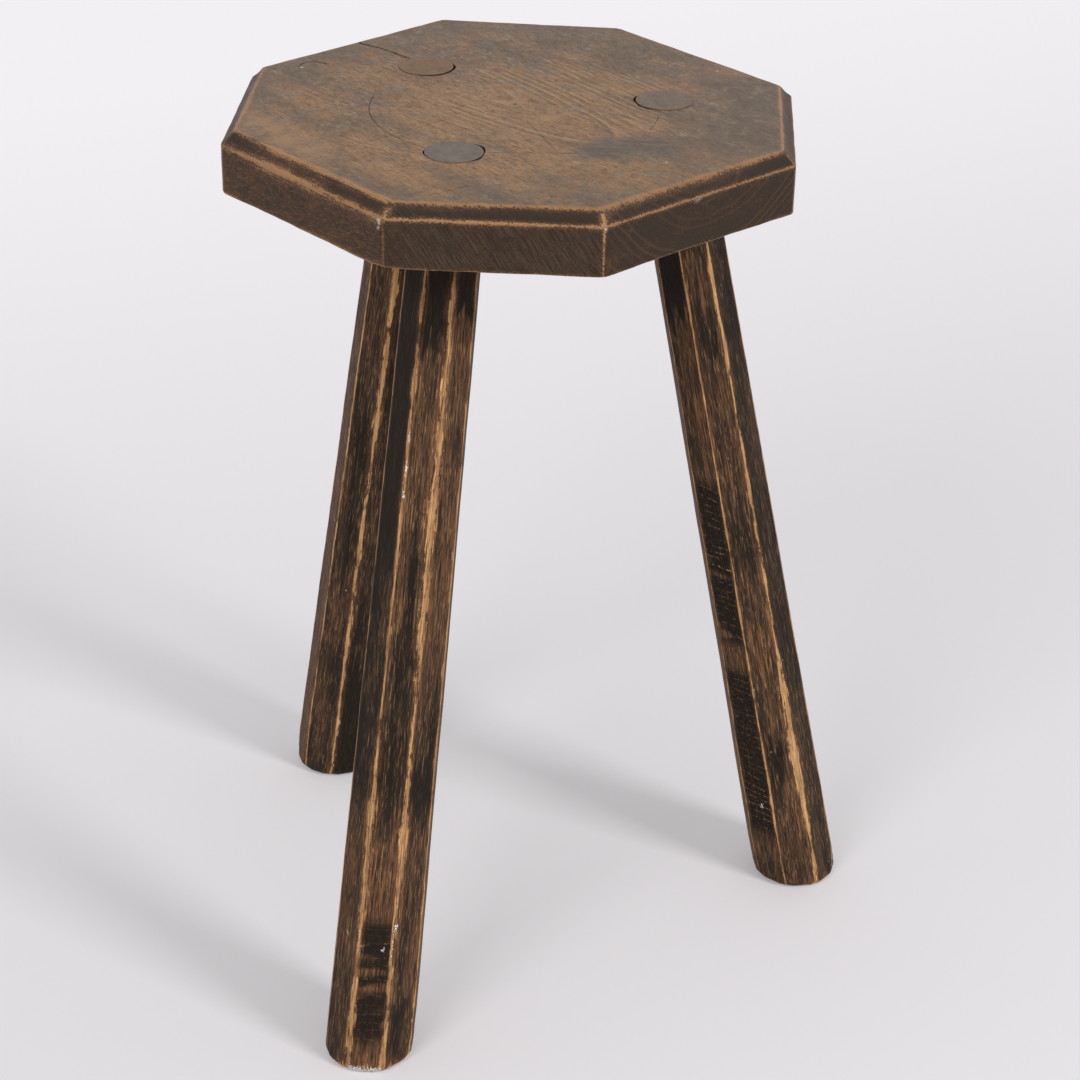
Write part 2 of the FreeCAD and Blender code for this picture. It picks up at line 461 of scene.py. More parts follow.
def bump(tree, height, strength, distance):
    made = add_node(tree, "ShaderNodeBump", {"Height": height, "Strength": strength, "Distance": distance})
    return Wire(made.outputs[0])


# The plank of the seat: fibres run from back left to front right, and the heart of the tree lay
# above the top, further above it towards the front right
PLANK_TURN = math.radians(45.0)
HEART_RISE = 0.16
HEART_START = 0.105
HEART_ACROSS = 0.005
RING_WIDTH = 0.0040
# Where the figure of the rings shows clearest, and where the top is rubbed cleanest, from its middle
FIGURE_ALONG = 0.008
FIGURE_ACROSS = 0.020
CLEAN_ALONG = 0.020
CLEAN_ACROSS = -0.020
HATCH_ANGLE = math.radians(58.0)


def ring_lines(along, across, height):
    """Growth rings round the heart of the tree: dark late wood, and pale early wood beside it."""
    place = vector(across, height, along)
    to_heart = (along + HEART_START) * HEART_RISE - height
    radius = reach_of(across - HEART_ACROSS, to_heart)
    waver = (cloud(place, 34.0, 9.0, 3.0) - 0.5) * 0.007
    grown = (radius + waver) / RING_WIDTH
    in_ring = grown.calc("FRACT")
    late = in_ring.rise(0.45, 0.93) * in_ring.rise(1.0, 0.96)
    early = in_ring.rise(0.0, 0.10) * in_ring.rise(0.45, 0.15)
    strength = cloud(vector(grown, grown, along * 14.0), 0.45, 1.0, 2.0).rise(0.36, 0.58)
    strength = strength * radius.rise(0.012, 0.019)
    return late * strength, early * strength


PlankWood = namedtuple(
    "PlankWood", "place along across grain fibres late early patchy mottle grime speckle rubbed")


def plank_wood(tree, colours):
    """Patterns that the top and the sides of the plank share, with dirt in clouds of every size."""
    place = Wire(add_node(tree, "ShaderNodeTexCoord").outputs["Object"])
    plank = Wire(add_node(
        tree, "ShaderNodeMapping",
        {"Vector": place, "Location": SEAT_MIDDLE, "Rotation": (0.0, 0.0, -PLANK_TURN)},
        vector_type="TEXTURE").outputs[0])
    along, across, height = plank.parts()
    grain = vector(across, height, along)
    late, early = ring_lines(along, across, height)
    grime = cloud(grain, 420.0, 190.0, 3.0, 0.65)
    speckle = cloud(grain, 1500.0, 480.0, 3.0, 0.65)
    return PlankWood(
        place=place, along=along, across=across, grain=grain, late=late, early=early,
        fibres=use_group(tree, "wood_fibres", {"Place": grain}),
        patchy=cloud(grain, 26.0, 19.0, 4.0, 0.65), mottle=cloud(grain, 95.0, 75.0, 5.0, 0.72),
        grime=grime, speckle=speckle,
        rubbed=mix(speckle * 0.60 + grime * 0.50, colours.leg_rust, colours.bare))


def worn_top(tree, colours, wood):
    """The top is rubbed clean and warm about one place, and dull towards the rim and on the right."""
    x, y, z = wood.place.parts()
    along, across, grain = wood.along, wood.across, wood.grain
    patchy, mottle, grime, speckle = wood.patchy, wood.mottle, wood.grime, wood.speckle
    from_middle = reach_of(along, across)
    to_clean = reach_of(along - CLEAN_ALONG, across - CLEAN_ACROSS)
    to_figure = reach_of(along - FIGURE_ALONG, across - FIGURE_ACROSS)
    warm = (to_clean * -7.0 + patchy * 4.2 + mottle * 3.4 - 2.62).rise(0.0, 1.0)
    hair = cloud(grain, 950.0, 62.0, 2.0, 0.6)
    brushed = patchy.rise(0.44, 0.60)
    figured = to_figure.rise(0.085, 0.035) * patchy.rise(0.25, 0.50)
    right = (x - SEAT_MIDDLE.x).rise(0.045, 0.120) * 0.45
    dirty = right.calc("MAXIMUM", from_middle.rise(0.105, 0.150) * 0.24)
    clouded = cloud(grain, 62.0, 26.0, 3.0, 0.6).rise(0.44, 0.62) * from_middle.rise(0.02, 0.08)
    smear = cloud(vector(y, z, x), 420.0, 34.0, 3.0, 0.6).rise(0.20, 0.62)
    return coats(
        mix(warm, colours.top_dull, colours.top_warm),
        (mottle.rise(0.51, 0.66) * 0.50, colours.top_dull),
        (mottle.rise(0.46, 0.32) * 0.42, colours.top_pale),
        (grime.rise(0.51, 0.68) * 0.56, colours.top_line),
        (grime.rise(0.45, 0.32) * 0.38, colours.top_pale),
        (speckle.rise(0.51, 0.66) * 0.60, colours.top_line),
        (speckle.rise(0.46, 0.34) * 0.42, colours.top_pale),
        (hair.rise(0.55, 0.66) * brushed * 0.42, colours.top_line),
        (hair.rise(0.45, 0.33) * (figured * 0.35 + brushed * 0.15), colours.top_pale),
        (wood.early * figured * 0.50, colours.top_pale),
        (wood.late * figured * 0.55, colours.top_line),
        (wood.fibres["Pores"] * 0.30, colours.top_line),
        (dirty * mottle.rise(0.30, 0.58), colours.smudge),
        (clouded * 0.34, colours.top_line),
        (attribute(tree, "handled") * mottle.rise(0.34, 0.60) * 0.60, wood.rubbed),
        (attribute(tree, "smudge") * (smear * 0.75 + 0.20), colours.smudge))


def stained_side(tree, colours, wood):
    """The sides keep their stain, thin in places; the front was planed across and shows fine hatching."""
    x, _, z = wood.place.parts()
    hatch_across = x * math.sin(HATCH_ANGLE) + z * math.cos(HATCH_ANGLE)
    hatch_along = x * math.cos(HATCH_ANGLE) - z * math.sin(HATCH_ANGLE)
    hatch = cloud(vector(hatch_across, 0.0, hatch_along), 1800.0, 75.0, 2.0).rise(0.38, 0.62)
    laid = attribute(tree, "thin")
    thin = laid + wood.mottle * 0.9 + wood.grime * 0.7 + wood.speckle * 0.9 + wood.patchy * 0.5 - 1.60
    sawn = attribute(tree, "sawn") * (wood.mottle * 0.5 + wood.patchy * 0.5).rise(0.38, 0.56)
    reddened = wood.fibres["Flecks"] * 0.8 + wood.speckle.rise(0.54, 0.68) * 1.6
    return coats(
        mix(thin.rise(-0.1, 0.6), colours.stain, colours.stain_thin),
        (sawn * hatch * 0.55, colours.stain_thin),
        (sawn * hatch * 0.55, colours.smudge),
        (sawn * (1.0 - hatch) * 0.90, colours.stain),
        (attribute(tree, "end_grain") * wood.late * 0.50, colours.stain_thin),
        (wood.fibres["Pores"] * 0.6 + (1.0 - wood.fibres["Streak"]) * 0.25, colours.stain),
        (reddened * laid, colours.leg_rust))


def worn_edges(tree, place, softness, grit):
    """Wear along the arrises of a piece, from what its mesh says of them."""
    return use_group(tree, "worn_arris", {
        "Place": place, "Distance": attribute(tree, "arris"), "Reach": attribute(tree, "reach"),
        "Softness": softness, "Grit": grit})


def seat_wood(colours):
    """Old plank: worn and greyed on top, dark stain on the sides, bare on the arrises."""
    made, tree, shader = start_material("seat_wood")
    wood = plank_wood(tree, colours)
    grain, mottle, grime, speckle = wood.grain, wood.mottle, wood.grime, wood.speckle
    stained = attribute(tree, "stained")
    strength = attribute(tree, "worn")
    worn = worn_edges(tree, grain, 0.45, 4.0)
    blotted = (wood.patchy + mottle + speckle * 0.6).rise(1.05, 1.45)
    speck = use_group(tree, "pale_specks", {"Place": grain, "Amount": 0.02})["Speck"]
    chip = attribute(tree, "chip") * cloud(grain, 600.0, 500.0, 2.0).rise(0.40, 0.52)
    shade = coats(
        worn_top(tree, colours, wood),
        (stained, stained_side(tree, colours, wood)),
        (worn["Margin"] * strength * 0.62, colours.leg_rust),
        (worn["Bare"] * strength, wood.rubbed),
        (attribute(tree, "dark") * blotted, colours.stain),
        # Black along the cuts of the top, and painted shade on the socket walls below the lip
        (attribute(tree, "cut") * mottle.rise(0.15, 0.45), colours.leg_black),
        ((speck * 0.4 + chip * 0.6).clamped(), colours.pale))

    feed(shader.inputs["Base Color"], shade)
    feed(shader.inputs["Roughness"], mottle * 0.30 + grime * 0.20 + stained * 0.10 + 0.16)
    shader.inputs["Specular IOR Level"].default_value = 0.18
    hollows = wood.late * 0.25 + wood.fibres["Pores"] * 0.4
    relief = wood.fibres["Streak"] * 0.25 + (mottle + grime + speckle) * 0.5 - hollows
    feed(shader.inputs["Normal"], bump(tree, relief, 0.40, 0.0003))
    return made


# Saw strokes to the metre down a leg, and upright scratches across one side of it
SAW_STROKES = 205.0
SAW_SCRATCHES = 4.0


def sawn_wood(tree, colours, place, streak):
    """Saw marks: black, crossed by thin broken ridges that are rubbed pale, with pale crumbs between.

    Gives their colour, the ridges and the crumbs.
    """
    down, across, ridged = (attribute(tree, name) for name in ("down", "across", "ridged"))
    down_only = vector(0.0, 0.0, down)
    drift = (cloud(down_only, 1.0, 45.0, 1.0) - 0.5) * 4.0
    wobble = (cloud(place, 60.0, 60.0, 2.0) - 0.5) * 0.8 + drift
    bright = cloud(down_only, 1.0, 32.0, 2.0).rise(0.48, 0.66) * 0.6 + across * 0.3 + 0.2
    ridge = (down * SAW_STROKES + wobble).calc("FRACT").rise(0.80, 0.92) * bright
    scratch = (across * SAW_SCRATCHES + wobble * 0.10).calc("FRACT") - 0.5
    upright = scratch.calc("ABSOLUTE").rise(0.10, 0.03) * 0.14
    broken = cloud(place, 380.0, 160.0, 2.0).rise(0.44, 0.58)
    ridges = ridge.calc("MAXIMUM", upright) * broken * ridged
    crumbs = cloud(place, 1100.0, 700.0, 2.0, 0.6).rise(0.56, 0.66)
    shade = coats(
        mix(crumbs * ridged * 0.75, colours.leg_black, colours.leg_brown),
        (ridges * 0.60, mix(streak, colours.leg_brown, colours.leg_gold)))
    return shade, ridges, crumbs


def tenon_wood(tree, colours, place):
    """The end of a tenon, seen in the seat's top, with its side below the top painted black as shade in the
    socket's gap.
    """
    dull = cloud(place, 160.0, 1.0, 4.0, 0.7).rise(0.30, 0.75)
    pores = cloud(place, 1400.0, 1.0, 2.0).rise(0.55, 0.68)
    return coats(
        mix(dull * 0.7, colours.top_warm, colours.top_dull),
        # Grey over the tenon end, partly painted sheen
        (attribute(tree, "tenon_grey"), mix(dull * 0.45, colours.tenon_end, colours.smudge)),
        (pores * 0.28, colours.top_line),
        # Painted shade: the tenon's side just below the top is black, where the socket's gap hides it
        (attribute(tree, "tenon_wall"), colours.leg_black))


def leg_wood(colours):
    """Open-grained wood under a black stain, with bright bare arrises and rubbed patches."""
    made, tree, shader = start_material("leg_wood")
    place = attribute(tree, "leg_place", "Vector")
    sawn = attribute(tree, "sawn")
    fibres = use_group(tree, "wood_fibres", {"Place": place})
    streak, band, pores = fibres["Streak"], fibres["Band"], fibres["Pores"]
    patchy = cloud(place, 75.0, 13.0, 4.0, 0.65)
    fine = cloud(place, 1900.0, 50.0, 4.0, 0.65).rise(0.40, 0.60)

    # Stain goes from black through brown to rubbed rust, in streaks, and the leg is lighter low down, partly
    # for thinner stain and partly as painted light that the lower leg catches
    laid = attribute(tree, "thin") * (patchy * 1.2 + band * 0.5 + 0.15)
    thin = patchy * 1.9 + band * 0.30 + laid + attribute(tree, "down").rise(0.25, 0.45) * 0.16 - 1.00
    stain = coats(
        mix(thin.rise(-0.30, 0.25), colours.leg_black, colours.leg_brown),
        (thin.rise(-0.08, 0.60) * (streak * 0.58 + fine * 0.37 + 0.05), colours.leg_rust),
        ((1.0 - fine) * 0.60 + (1.0 - streak) * 0.22, colours.leg_black),
        (pores * 0.70, colours.leg_black),
        (fibres["Flecks"] * (thin.rise(-0.5, 0.2) * 0.30 + 0.04), colours.leg_gold))

    gold = coats(
        mix(streak * 0.50 + fine * 0.40 + 0.10, colours.leg_rust, colours.leg_gold),
        ((1.0 - fine) * 0.30 + pores * 0.4, colours.leg_brown),
        # Painted highlight: pale gold over the bare arrises of the right and back legs
        (attribute(tree, "painted_highlight") * (streak * 0.5 + 0.5), colours.leg_painted_highlight))
    saw_shade, ridges, crumbs = sawn_wood(tree, colours, place, streak)
    worn = worn_edges(tree, place, 0.15, 0.8)
    speck = use_group(tree, "pale_specks", {"Place": place, "Amount": 0.03})["Speck"]
    knocked = attribute(tree, "chip")
    flakes = knocked * 1.04 + cloud(place, 1200.0, 950.0, 2.0, 0.6) * 4.0 - 2.70
    shade = coats(
        stain,
        (sawn, saw_shade),
        (worn["Margin"] * (1.0 - sawn * 0.8) * (streak * 0.45 + fine * 0.35), colours.leg_rust),
        (worn["Bare"], gold),
        (speck * 0.5, colours.pale),
        (flakes.rise(0.0, 0.25) * knocked.rise(0.0, 0.2), colours.pale),
        (attribute(tree, "tenon"), tenon_wood(tree, colours, place)))

    feed(shader.inputs["Base Color"], shade)
    feed(shader.inputs["Roughness"], (streak + patchy + sawn) * 0.15 + 0.42)
    shader.inputs["Specular IOR Level"].default_value = 0.07
    relief = streak * 0.8 - pores * 0.6 + ridges * sawn * 0.6 + crumbs * sawn * 0.4
    feed(shader.inputs["Normal"], bump(tree, relief, 0.5, 0.0004))
    return made


# How far behind the stool the middle of the floor that the camera sees lies, and how far it reaches
VIEW_CENTRE = 0.75
VIEW_REACH = 1.25
# Where the paper starts and stops growing lighter, along a line that leans to the left by a share
LIGHTER_FROM = -0.2
LIGHTER_TO = 1.9
LIGHTER_LEAN = 0.45


def paper_floor(look):
    """Seamless paper that the camera sees lighter towards the back."""
    made, tree, shader = start_material("paper_floor")
    place = Wire(add_node(tree, "ShaderNodeTexCoord").outputs["Object"])
    shader.inputs["Base Color"].default_value = (*look.floor, 1.0)
    shader.inputs["Roughness"].default_value = 0.9
    shader.inputs["Specular IOR Level"].default_value = 0.1
    x, y, _ = place.parts()
    beyond = reach_of(x, y - VIEW_CENTRE).rise(VIEW_REACH, 2 * VIEW_REACH)
    far = (y - x * LIGHTER_LEAN).rise(LIGHTER_FROM, LIGHTER_TO).calc("MAXIMUM", beyond)
    glow = far * (look.far_glow - look.near_glow) + look.near_glow
    feed(shader.inputs["Emission Color"], (*look.backdrop, 1.0))
    feed(shader.inputs["Emission Strength"], glow * seen_directly(tree))
    return made


def seen_directly(tree):
    """1 for what the camera sees, straight or by reflection or through glass, and 0 for what lights."""
    path = add_node(tree, "ShaderNodeLightPath")
    seen = Wire(path.outputs["Is Camera Ray"])
    for kind in ("Is Glossy Ray", "Is Transmission Ray"):
        seen = seen.calc("MAXIMUM", Wire(path.outputs[kind]))
    return seen


# What is read from the CAD legs


LegAxis = namedtuple("LegAxis", "foot top up out across turn")


def middle_of(points):
    return Vector((points.min(axis=0) + points.max(axis=0)) / 2)


def leg_axis(node):
    """A leg's line from floor to seat top, and how its sides are turned about that line."""
    mesh = frame["nodes"][node].data
    points = np.array([vertex.co for vertex in mesh.vertices])
    heights = points[:, 2]
    top = middle_of(points[heights > heights.max() - 0.01 * MM])
    foot = middle_of(points[heights < heights.min() + 0.01 * MM])
    up = (top - foot).normalized()
    flat = Vector((foot.x - top.x, foot.y - top.y, 0.0))
    out = (flat - up * flat.dot(up)).normalized()
    across = up.cross(out)
    swing = 0j
    for face in mesh.polygons:
        if abs(face.normal.dot(up)) < 0.1:
            angle = math.atan2(face.normal.dot(across), face.normal.dot(out))
            swing += face.area * cmath.exp(1j * SIDES * angle)
    return LegAxis(foot, top, up, out, across, cmath.phase(swing) / SIDES)


def level_ring(axis, height, radius, angles):
    """Where a round rod on a leg's axis meets a level plane."""
    side = radius * np.cos(angles)
    back = radius * np.sin(angles)
    slide = -(side * axis.out.z + back * axis.across.z) / axis.up.z
    base = axis.foot + (axis.top - axis.foot) * (height / axis.top.z)
    return (np.array(base) + np.outer(side, axis.out) + np.outer(back, axis.across)
            + np.outer(slide, axis.up))


# Seat


SEAT_MARKS = (
    "arris", "reach", "worn", "stained", "thin", "end_grain", "dark", "sawn", "cut", "smudge", "handled",
    "chip")
# How finely the seat is divided
COLUMNS_PER_SIDE = 64
SOCKET_POINTS = 80
TOP_SPACING = 2.3 * MM
UNDER_SPACING = 7.0 * MM
EASING_ROWS = 7
CHAMFER_ROWS = 8
FACE_ROWS = 10
# Room that the evenly spread points leave along the edge, round the sockets and beside the cuts
EDGE_ROOM = 3.4 * MM
HOLE_ROOM = 2.2 * MM
LINE_ROOM = 0.8 * MM
UNDER_EDGE_ROOM = 6.0 * MM
UNDER_HOLE_ROOM = 3.0 * MM
# No socket reaches this far from its middle, and no wear this far from an arris
SOCKET_LIMIT = 20.0 * MM
FAR_FROM_ARRIS = 0.1
# The corner that is knocked round below, counted from the left end of the front, and how far
KNOCKED_CORNER = 0
KNOCK_SIZE = 3.0 * MM
# Dents along the edge, so many to the metre, and how far they and the chips go in
EDGE_DENTS = 90.0
EDGE_DENT_DEPTH = 0.16 * MM
EDGE_CHIP_DEPTH = 0.35 * MM
# The stain of the edge sets in over some rows below the top, and fades at the ends of its stretches
STAIN_FIRST_ROW = 2
STAIN_ROWS = 3
STAIN_ENDS = 0.05
# Swells and ripples of the top, so many to the metre, and their heights; they die away at the rim
SWELLS = 42.0
SWELL_HEIGHT = 0.16 * MM
RIPPLES = 160.0
RIPPLE_HEIGHT = 0.05 * MM
RIPPLE_LAYER = 0.3
LEVEL_RIM = 14.0 * MM
DISH_SHARE = 0.42

# Small pale chips: place in millimetres from the seat's middle, depth below the top, and size
CHIPS = (
    ((-53.0, -138.0), 8.5, 1.9), ((-53.5, -138.0), 11.0, 1.3), ((52.5, -136.0), 3.0, 1.3),
    ((51.5, -139.5), 7.6, 0.9), ((-30.0, -133.0), 0.8, 0.9), ((18.0, -133.5), 0.8, 0.8),
    ((93.0, -97.0), 7.2, 1.0), ((134.0, -53.0), 7.5, 1.2), ((-120.0, -72.0), 27.0, 1.2),
    ((-113.7, 49.3), 0.0, 1.3), ((77.5, -70.2), 0.0, 1.0), ((101.3, 67.0), 0.0, 1.0),
)
# Rings of points, in millimetres, that carry a small round mark on the top
DOT_RINGS = (0.3, 0.8, 1.3)


class Skin:
    """The seat's surface as it is made: points, faces, and what each point tells the finish."""

    def __init__(self):
        self.points = []
        self.faces = []
        self.marks = {name: [] for name in SEAT_MARKS}

    def add(self, points, **marks):
        """Add points with their marks, and give back their numbers."""
        first = len(self.points)
        self.points.extend(map(tuple, points))
        for name, values in self.marks.items():
            values.extend(np.broadcast_to(marks.get(name, 0.0), len(points)).tolist())
        return np.arange(first, len(self.points))

    def band(self, ring, next_ring):
        """Close the strip between two closed rings of as many points."""
        for here, after in zip(range(len(ring)), [*range(1, len(ring)), 0]):
            self.faces.append((ring[here], ring[after], next_ring[after], next_ring[here]))


def wander(share, seed, swells):
    """An uneven value about 0 to 1 that closes on itself once round."""
    random = np.random.default_rng(seed)
    total = np.zeros_like(share)
    weight = 1.0
    for octave in range(4):
        turns = round(swells * 2 ** octave)
        total += weight * np.sin(2 * np.pi * (turns * share + random.uniform()))
        weight *= 0.62
    return 0.5 + 0.32 * total


def distance_to_path(points, path):
    """Distance in the plan from each point to a line through the given points."""
    nearest = np.full(len(points), np.inf)
    for start, end in zip(path[:-1], path[1:]):
        run = end - start
        share = np.clip(((points - start) @ run) / (run @ run), 0.0, 1.0)
        nearest = np.minimum(nearest, np.linalg.norm(points - start - np.outer(share, run), axis=1))
    return nearest


def plan(points_mm):
    """Marks given in millimetres from the seat's middle, as points of the plan."""
    return np.array(points_mm) * MM + np.array(SEAT_MIDDLE)[:2]


def scratches():
    """Every cut line on the top: its path, half its width, its depth, and how dark it is."""
    lines = []
    for start, end, darkness in SCRIBED_ARCS:
        bearings = np.radians(np.linspace(start, end, round(abs(end - start) / 1.5)))
        ring = np.column_stack((np.cos(bearings), np.sin(bearings))) * SCRIBED_RADIUS
        lines.append((plan(ring), 0.40 * MM, 0.35 * MM, darkness))
    for line in KNIFE_LINES:
        lines.append((plan(np.linspace(line[0], line[1], 18)), 0.28 * MM, 0.15 * MM, 0.55))
    lines.append((plan(CRACK), 0.85 * MM, 2.0 * MM, 1.0))
    lines.append((plan(DENT), 0.70 * MM, 0.4 * MM, 1.0))
    return lines


def chip_marks(points):
    """How much of each point of the seat lies in one of its small pale chips."""
    chip = np.zeros(len(points))
    for place, depth, size in CHIPS:
        spot = np.array([*plan(place), SEAT_MIDDLE.z - depth * MM])
        near = np.linalg.norm(points - spot, axis=1) / (size * MM)
        chip = np.maximum(chip, np.clip(1.6 - 1.6 * near, 0.0, 1.0))
    return chip


def dot_points(place):
    """Points of the plan close enough together to carry a small round mark."""
    bearings = np.arange(SIDES) * 2 * HALF_TURN
    circle = np.column_stack((np.cos(bearings), np.sin(bearings)))
    return np.vstack([plan(place) + circle * radius * MM for radius in DOT_RINGS])


def seat_corners(sizes):
    """Corners of the eight-sided plan, from the left end of the front side, anticlockwise."""
    x = sizes.width / 2
    y = sizes.depth / 2
    cut = sizes.corner_cut
    corners = [(-x + cut, -y), (x - cut, -y), (x, -y + cut), (x, y - cut),
               (x - cut, y), (-x + cut, y + sizes.back_slant), (-x, y - cut), (-x, -y + cut)]
    return np.array(corners) + np.array(SEAT_MIDDLE)[:2]


class Rim:
    """The columns of points that go round the seat, and where each lies for a given inset."""

    def __init__(self, sizes):
        corners = seat_corners(sizes)
        ends = np.roll(corners, -1, axis=0)
        runs = ends - corners
        lengths = np.linalg.norm(runs, axis=1)
        inward = np.column_stack((-runs[:, 1], runs[:, 0])) / lengths[:, None]
        before = np.roll(inward, 1, axis=0)
        mitre = (inward + before) / (1 + np.sum(inward * before, axis=1))[:, None]
        self.side = np.repeat(np.arange(SIDES), COLUMNS_PER_SIDE)
        step = np.tile(np.arange(COLUMNS_PER_SIDE) / COLUMNS_PER_SIDE, SIDES)
        self.share = (1 - np.cos(np.pi * step)) / 2
        self.round = (np.cumsum(lengths) - lengths)[self.side] + self.share * lengths[self.side]
        self.round /= lengths.sum()
        following = (self.side + 1) % SIDES
        nearer_end = self.share > 0.5
        corner = np.where(nearer_end, following, self.side)
        self.to_corner = np.minimum(self.share, 1 - self.share) * lengths[self.side]
        self.inward_at_corner = (mitre / np.linalg.norm(mitre, axis=1)[:, None])[corner]
        self.corner = corner
        self.start, self.start_mitre = corners[self.side], mitre[self.side]
        self.end, self.end_mitre = corners[following], mitre[following]
        self.inward = inward[self.side]
        self.corners, self.side_inward = corners, inward

    def at(self, inset, easing):
        """Plan of the columns, so far in from the outer sides, with the corners eased."""
        start = self.start + self.start_mitre * inset[:, None]
        end = self.end + self.end_mitre * inset[:, None]
        plan_points = start + (end - start) * self.share[:, None]
        lost = np.maximum(easing - self.to_corner, 0.0) * math.sin(HALF_TURN)
        return plan_points + self.inward_at_corner * lost[:, None]

    def depth_inside(self, points):
        """How far plan points lie inside the outer sides."""
        depths = [(points - corner) @ inward for corner, inward in zip(self.corners, self.side_inward)]
        return np.min(depths, axis=0), np.argmin(depths, axis=0)


def rim_profile(sizes, rim):
    """The seat's edge in rows from the top down: how far in and how far down each row lies.

    Also gives how much each row belongs to the chamfer, from 0 to 1, and the number of the row on each
    of the upper, lower and under arrises.
    """
    upper = sizes.upper_easing * (0.55 + 0.7 * wander(rim.round, 11, 9) + 0.2 * wander(rim.round, 15, 60))
    lower = sizes.lower_easing * (0.45 + 0.8 * wander(rim.round, 12, 11) + 0.3 * wander(rim.round, 16, 70))
    under = sizes.under_easing * (0.45 + 1.1 * wander(rim.round, 13, 8))
    # The lower left corner of the front is knocked round
    at_knock = rim.corner == KNOCKED_CORNER
    under[at_knock] += KNOCK_SIZE * np.exp(-(rim.to_corner[at_knock] / (3 * KNOCK_SIZE)) ** 2)
    # Each rounding touches the flats beside its arris this many radii away from it
    touch = math.tan(math.pi / 8)
    eighth = np.linspace(0.0, math.pi / 4, EASING_ROWS)
    upper_arc = [(sizes.chamfer + upper * (touch - math.sin(turn)), upper * (1 - math.cos(turn)))
                 for turn in eighth]
    lower_arc = [(lower * (1 - math.cos(turn)), sizes.chamfer + lower * (touch - math.sin(turn)))
                 for turn in eighth[::-1]]
    rows = [(inset, drop, 0.0) for inset, drop in upper_arc]
    for share in np.linspace(0.0, 1.0, CHAMFER_ROWS + 2)[1:-1]:
        dished = sizes.chamfer_hollow * math.sin(math.pi * share)
        ends = zip(upper_arc[-1], lower_arc[0])
        inset, drop = (first + (last - first) * share + dished for first, last in ends)
        rows.append((inset, drop, min(1.0, 5 * share, 5 * (1 - share))))
    rows += [(inset, drop, 0.0) for inset, drop in lower_arc]
    first, last = sizes.chamfer + lower * touch, sizes.thickness - under
    for share in np.linspace(0.0, 1.0, FACE_ROWS + 2)[1:-1]:
        rows.append((np.zeros_like(first), first + (last - first) * share, 0.0))
    quarter = np.linspace(0.0, math.pi / 2, EASING_ROWS)
    rows += [(under * (1 - math.cos(turn)), last + under * math.sin(turn), 0.0) for turn in quarter]
    middle = EASING_ROWS // 2
    arris_rows = (middle, EASING_ROWS + CHAMFER_ROWS + middle, len(rows) - 1 - middle)
    return [np.array(part) for part in zip(*rows)], arris_rows


def mesh_plate(outline, sockets, lines, dots, spacing, keep_clear):
    """Triangles of a flat plate with holes: its points, and faces by number.

    The outline's points come first, then each socket's, so their numbers are known.
    """
    points = [*map(tuple, outline)]
    edges = [(i, (i + 1) % len(outline)) for i in range(len(outline))]
    for socket in sockets:
        first = len(points)
        points.extend(map(tuple, socket))
        edges += [(first + i, first + (i + 1) % len(socket)) for i in range(len(socket))]
    fixed = len(points)
    for middle_line, half_width, _, _ in lines:
        run = np.gradient(middle_line, axis=0)
        run /= np.linalg.norm(run, axis=1)[:, None]
        aside = np.column_stack((-run[:, 1], run[:, 0])) * half_width
        for line in (middle_line - aside, middle_line, middle_line + aside):
            first = len(points)
            points.extend(map(tuple, line))
            edges += [(first + i, first + i + 1) for i in range(len(line) - 1)]
    low = outline.min(axis=0)
    high = outline.max(axis=0)
    across = np.arange(low[0], high[0], spacing)
    grid = [(x + (row % 2) * spacing / 2, y)
            for row, y in enumerate(np.arange(low[1], high[1], spacing * math.sqrt(0.75))) for x in across]
    grid = np.array(grid)
    points.extend(map(tuple, np.vstack((grid[keep_clear(grid)], *dots))))
    scaled = [Vector(point) / MM for point in points]
    found, _, faces, origins, _, _ = geometry.delaunay_2d_cdt(scaled, edges, [], 1, 1e-4)
    places = np.array([tuple(point) for point in found]) * MM
    number = {}
    for index, sources in enumerate(origins):
        for source in sources:
            if source < fixed:
                number[source] = index
    kept = [face for face in faces if not in_socket(places[list(face)].mean(axis=0), sockets)]
    return places, kept, [number[i] for i in range(fixed)]


def in_socket(point, sockets):
    """Whether a plan point lies inside one of the sockets' outlines."""
    for outline in sockets:
        middle = outline.mean(axis=0)
        offset = point - middle
        if offset @ offset > SOCKET_LIMIT ** 2:
            continue
        bearings = np.arctan2(*(outline - middle).T[::-1])
        order = np.argsort(bearings)
        reach = np.interp(
            math.atan2(offset[1], offset[0]), bearings[order],
            np.linalg.norm(outline - middle, axis=1)[order], period=2 * math.pi)
        if math.hypot(*offset) < reach:
            return True
    return False


def socket_rings(leg_sizes, sizes):
    """Outlines of the three sockets in the top, just below it and in the underside of the seat."""
    rings = []
    angles = np.linspace(0.0, 2 * np.pi, SOCKET_POINTS, endpoint=False)
    for name in LEG_NAMES:
        axis = leg_axis(name)
        radius = leg_sizes.tenon / 2
        true_ring = level_ring(axis, SEAT_MIDDLE.z, radius, angles)
        bearing = np.degrees(np.arctan2(true_ring[:, 1] - axis.top.y, true_ring[:, 0] - axis.top.x))
        gap = np.full(SOCKET_POINTS, LEAST_GAP)
        for widest, width, spread in SOCKET_GAPS[name]:
            off = (bearing - widest + 180.0) % 360.0 - 180.0
            gap += width * np.exp(-(off / spread) ** 2)
        rings.append([
            level_ring(axis, SEAT_MIDDLE.z - drop, radius + room * MM, angles)
            for drop, room in ((0.0, gap), (SOCKET_LIP * MM, gap), (sizes.thickness, LEAST_GAP))])
    return rings


def at_height(places, height):
    """Points of the plan, all at one height."""
    return np.column_stack((places, np.full(len(places), height)))


def noise_at(points, swells):
    """Smooth noise about 0 at each point, with so many swells to the metre."""
    return np.array([solid_noise.noise(Vector(point) * swells) for point in points])


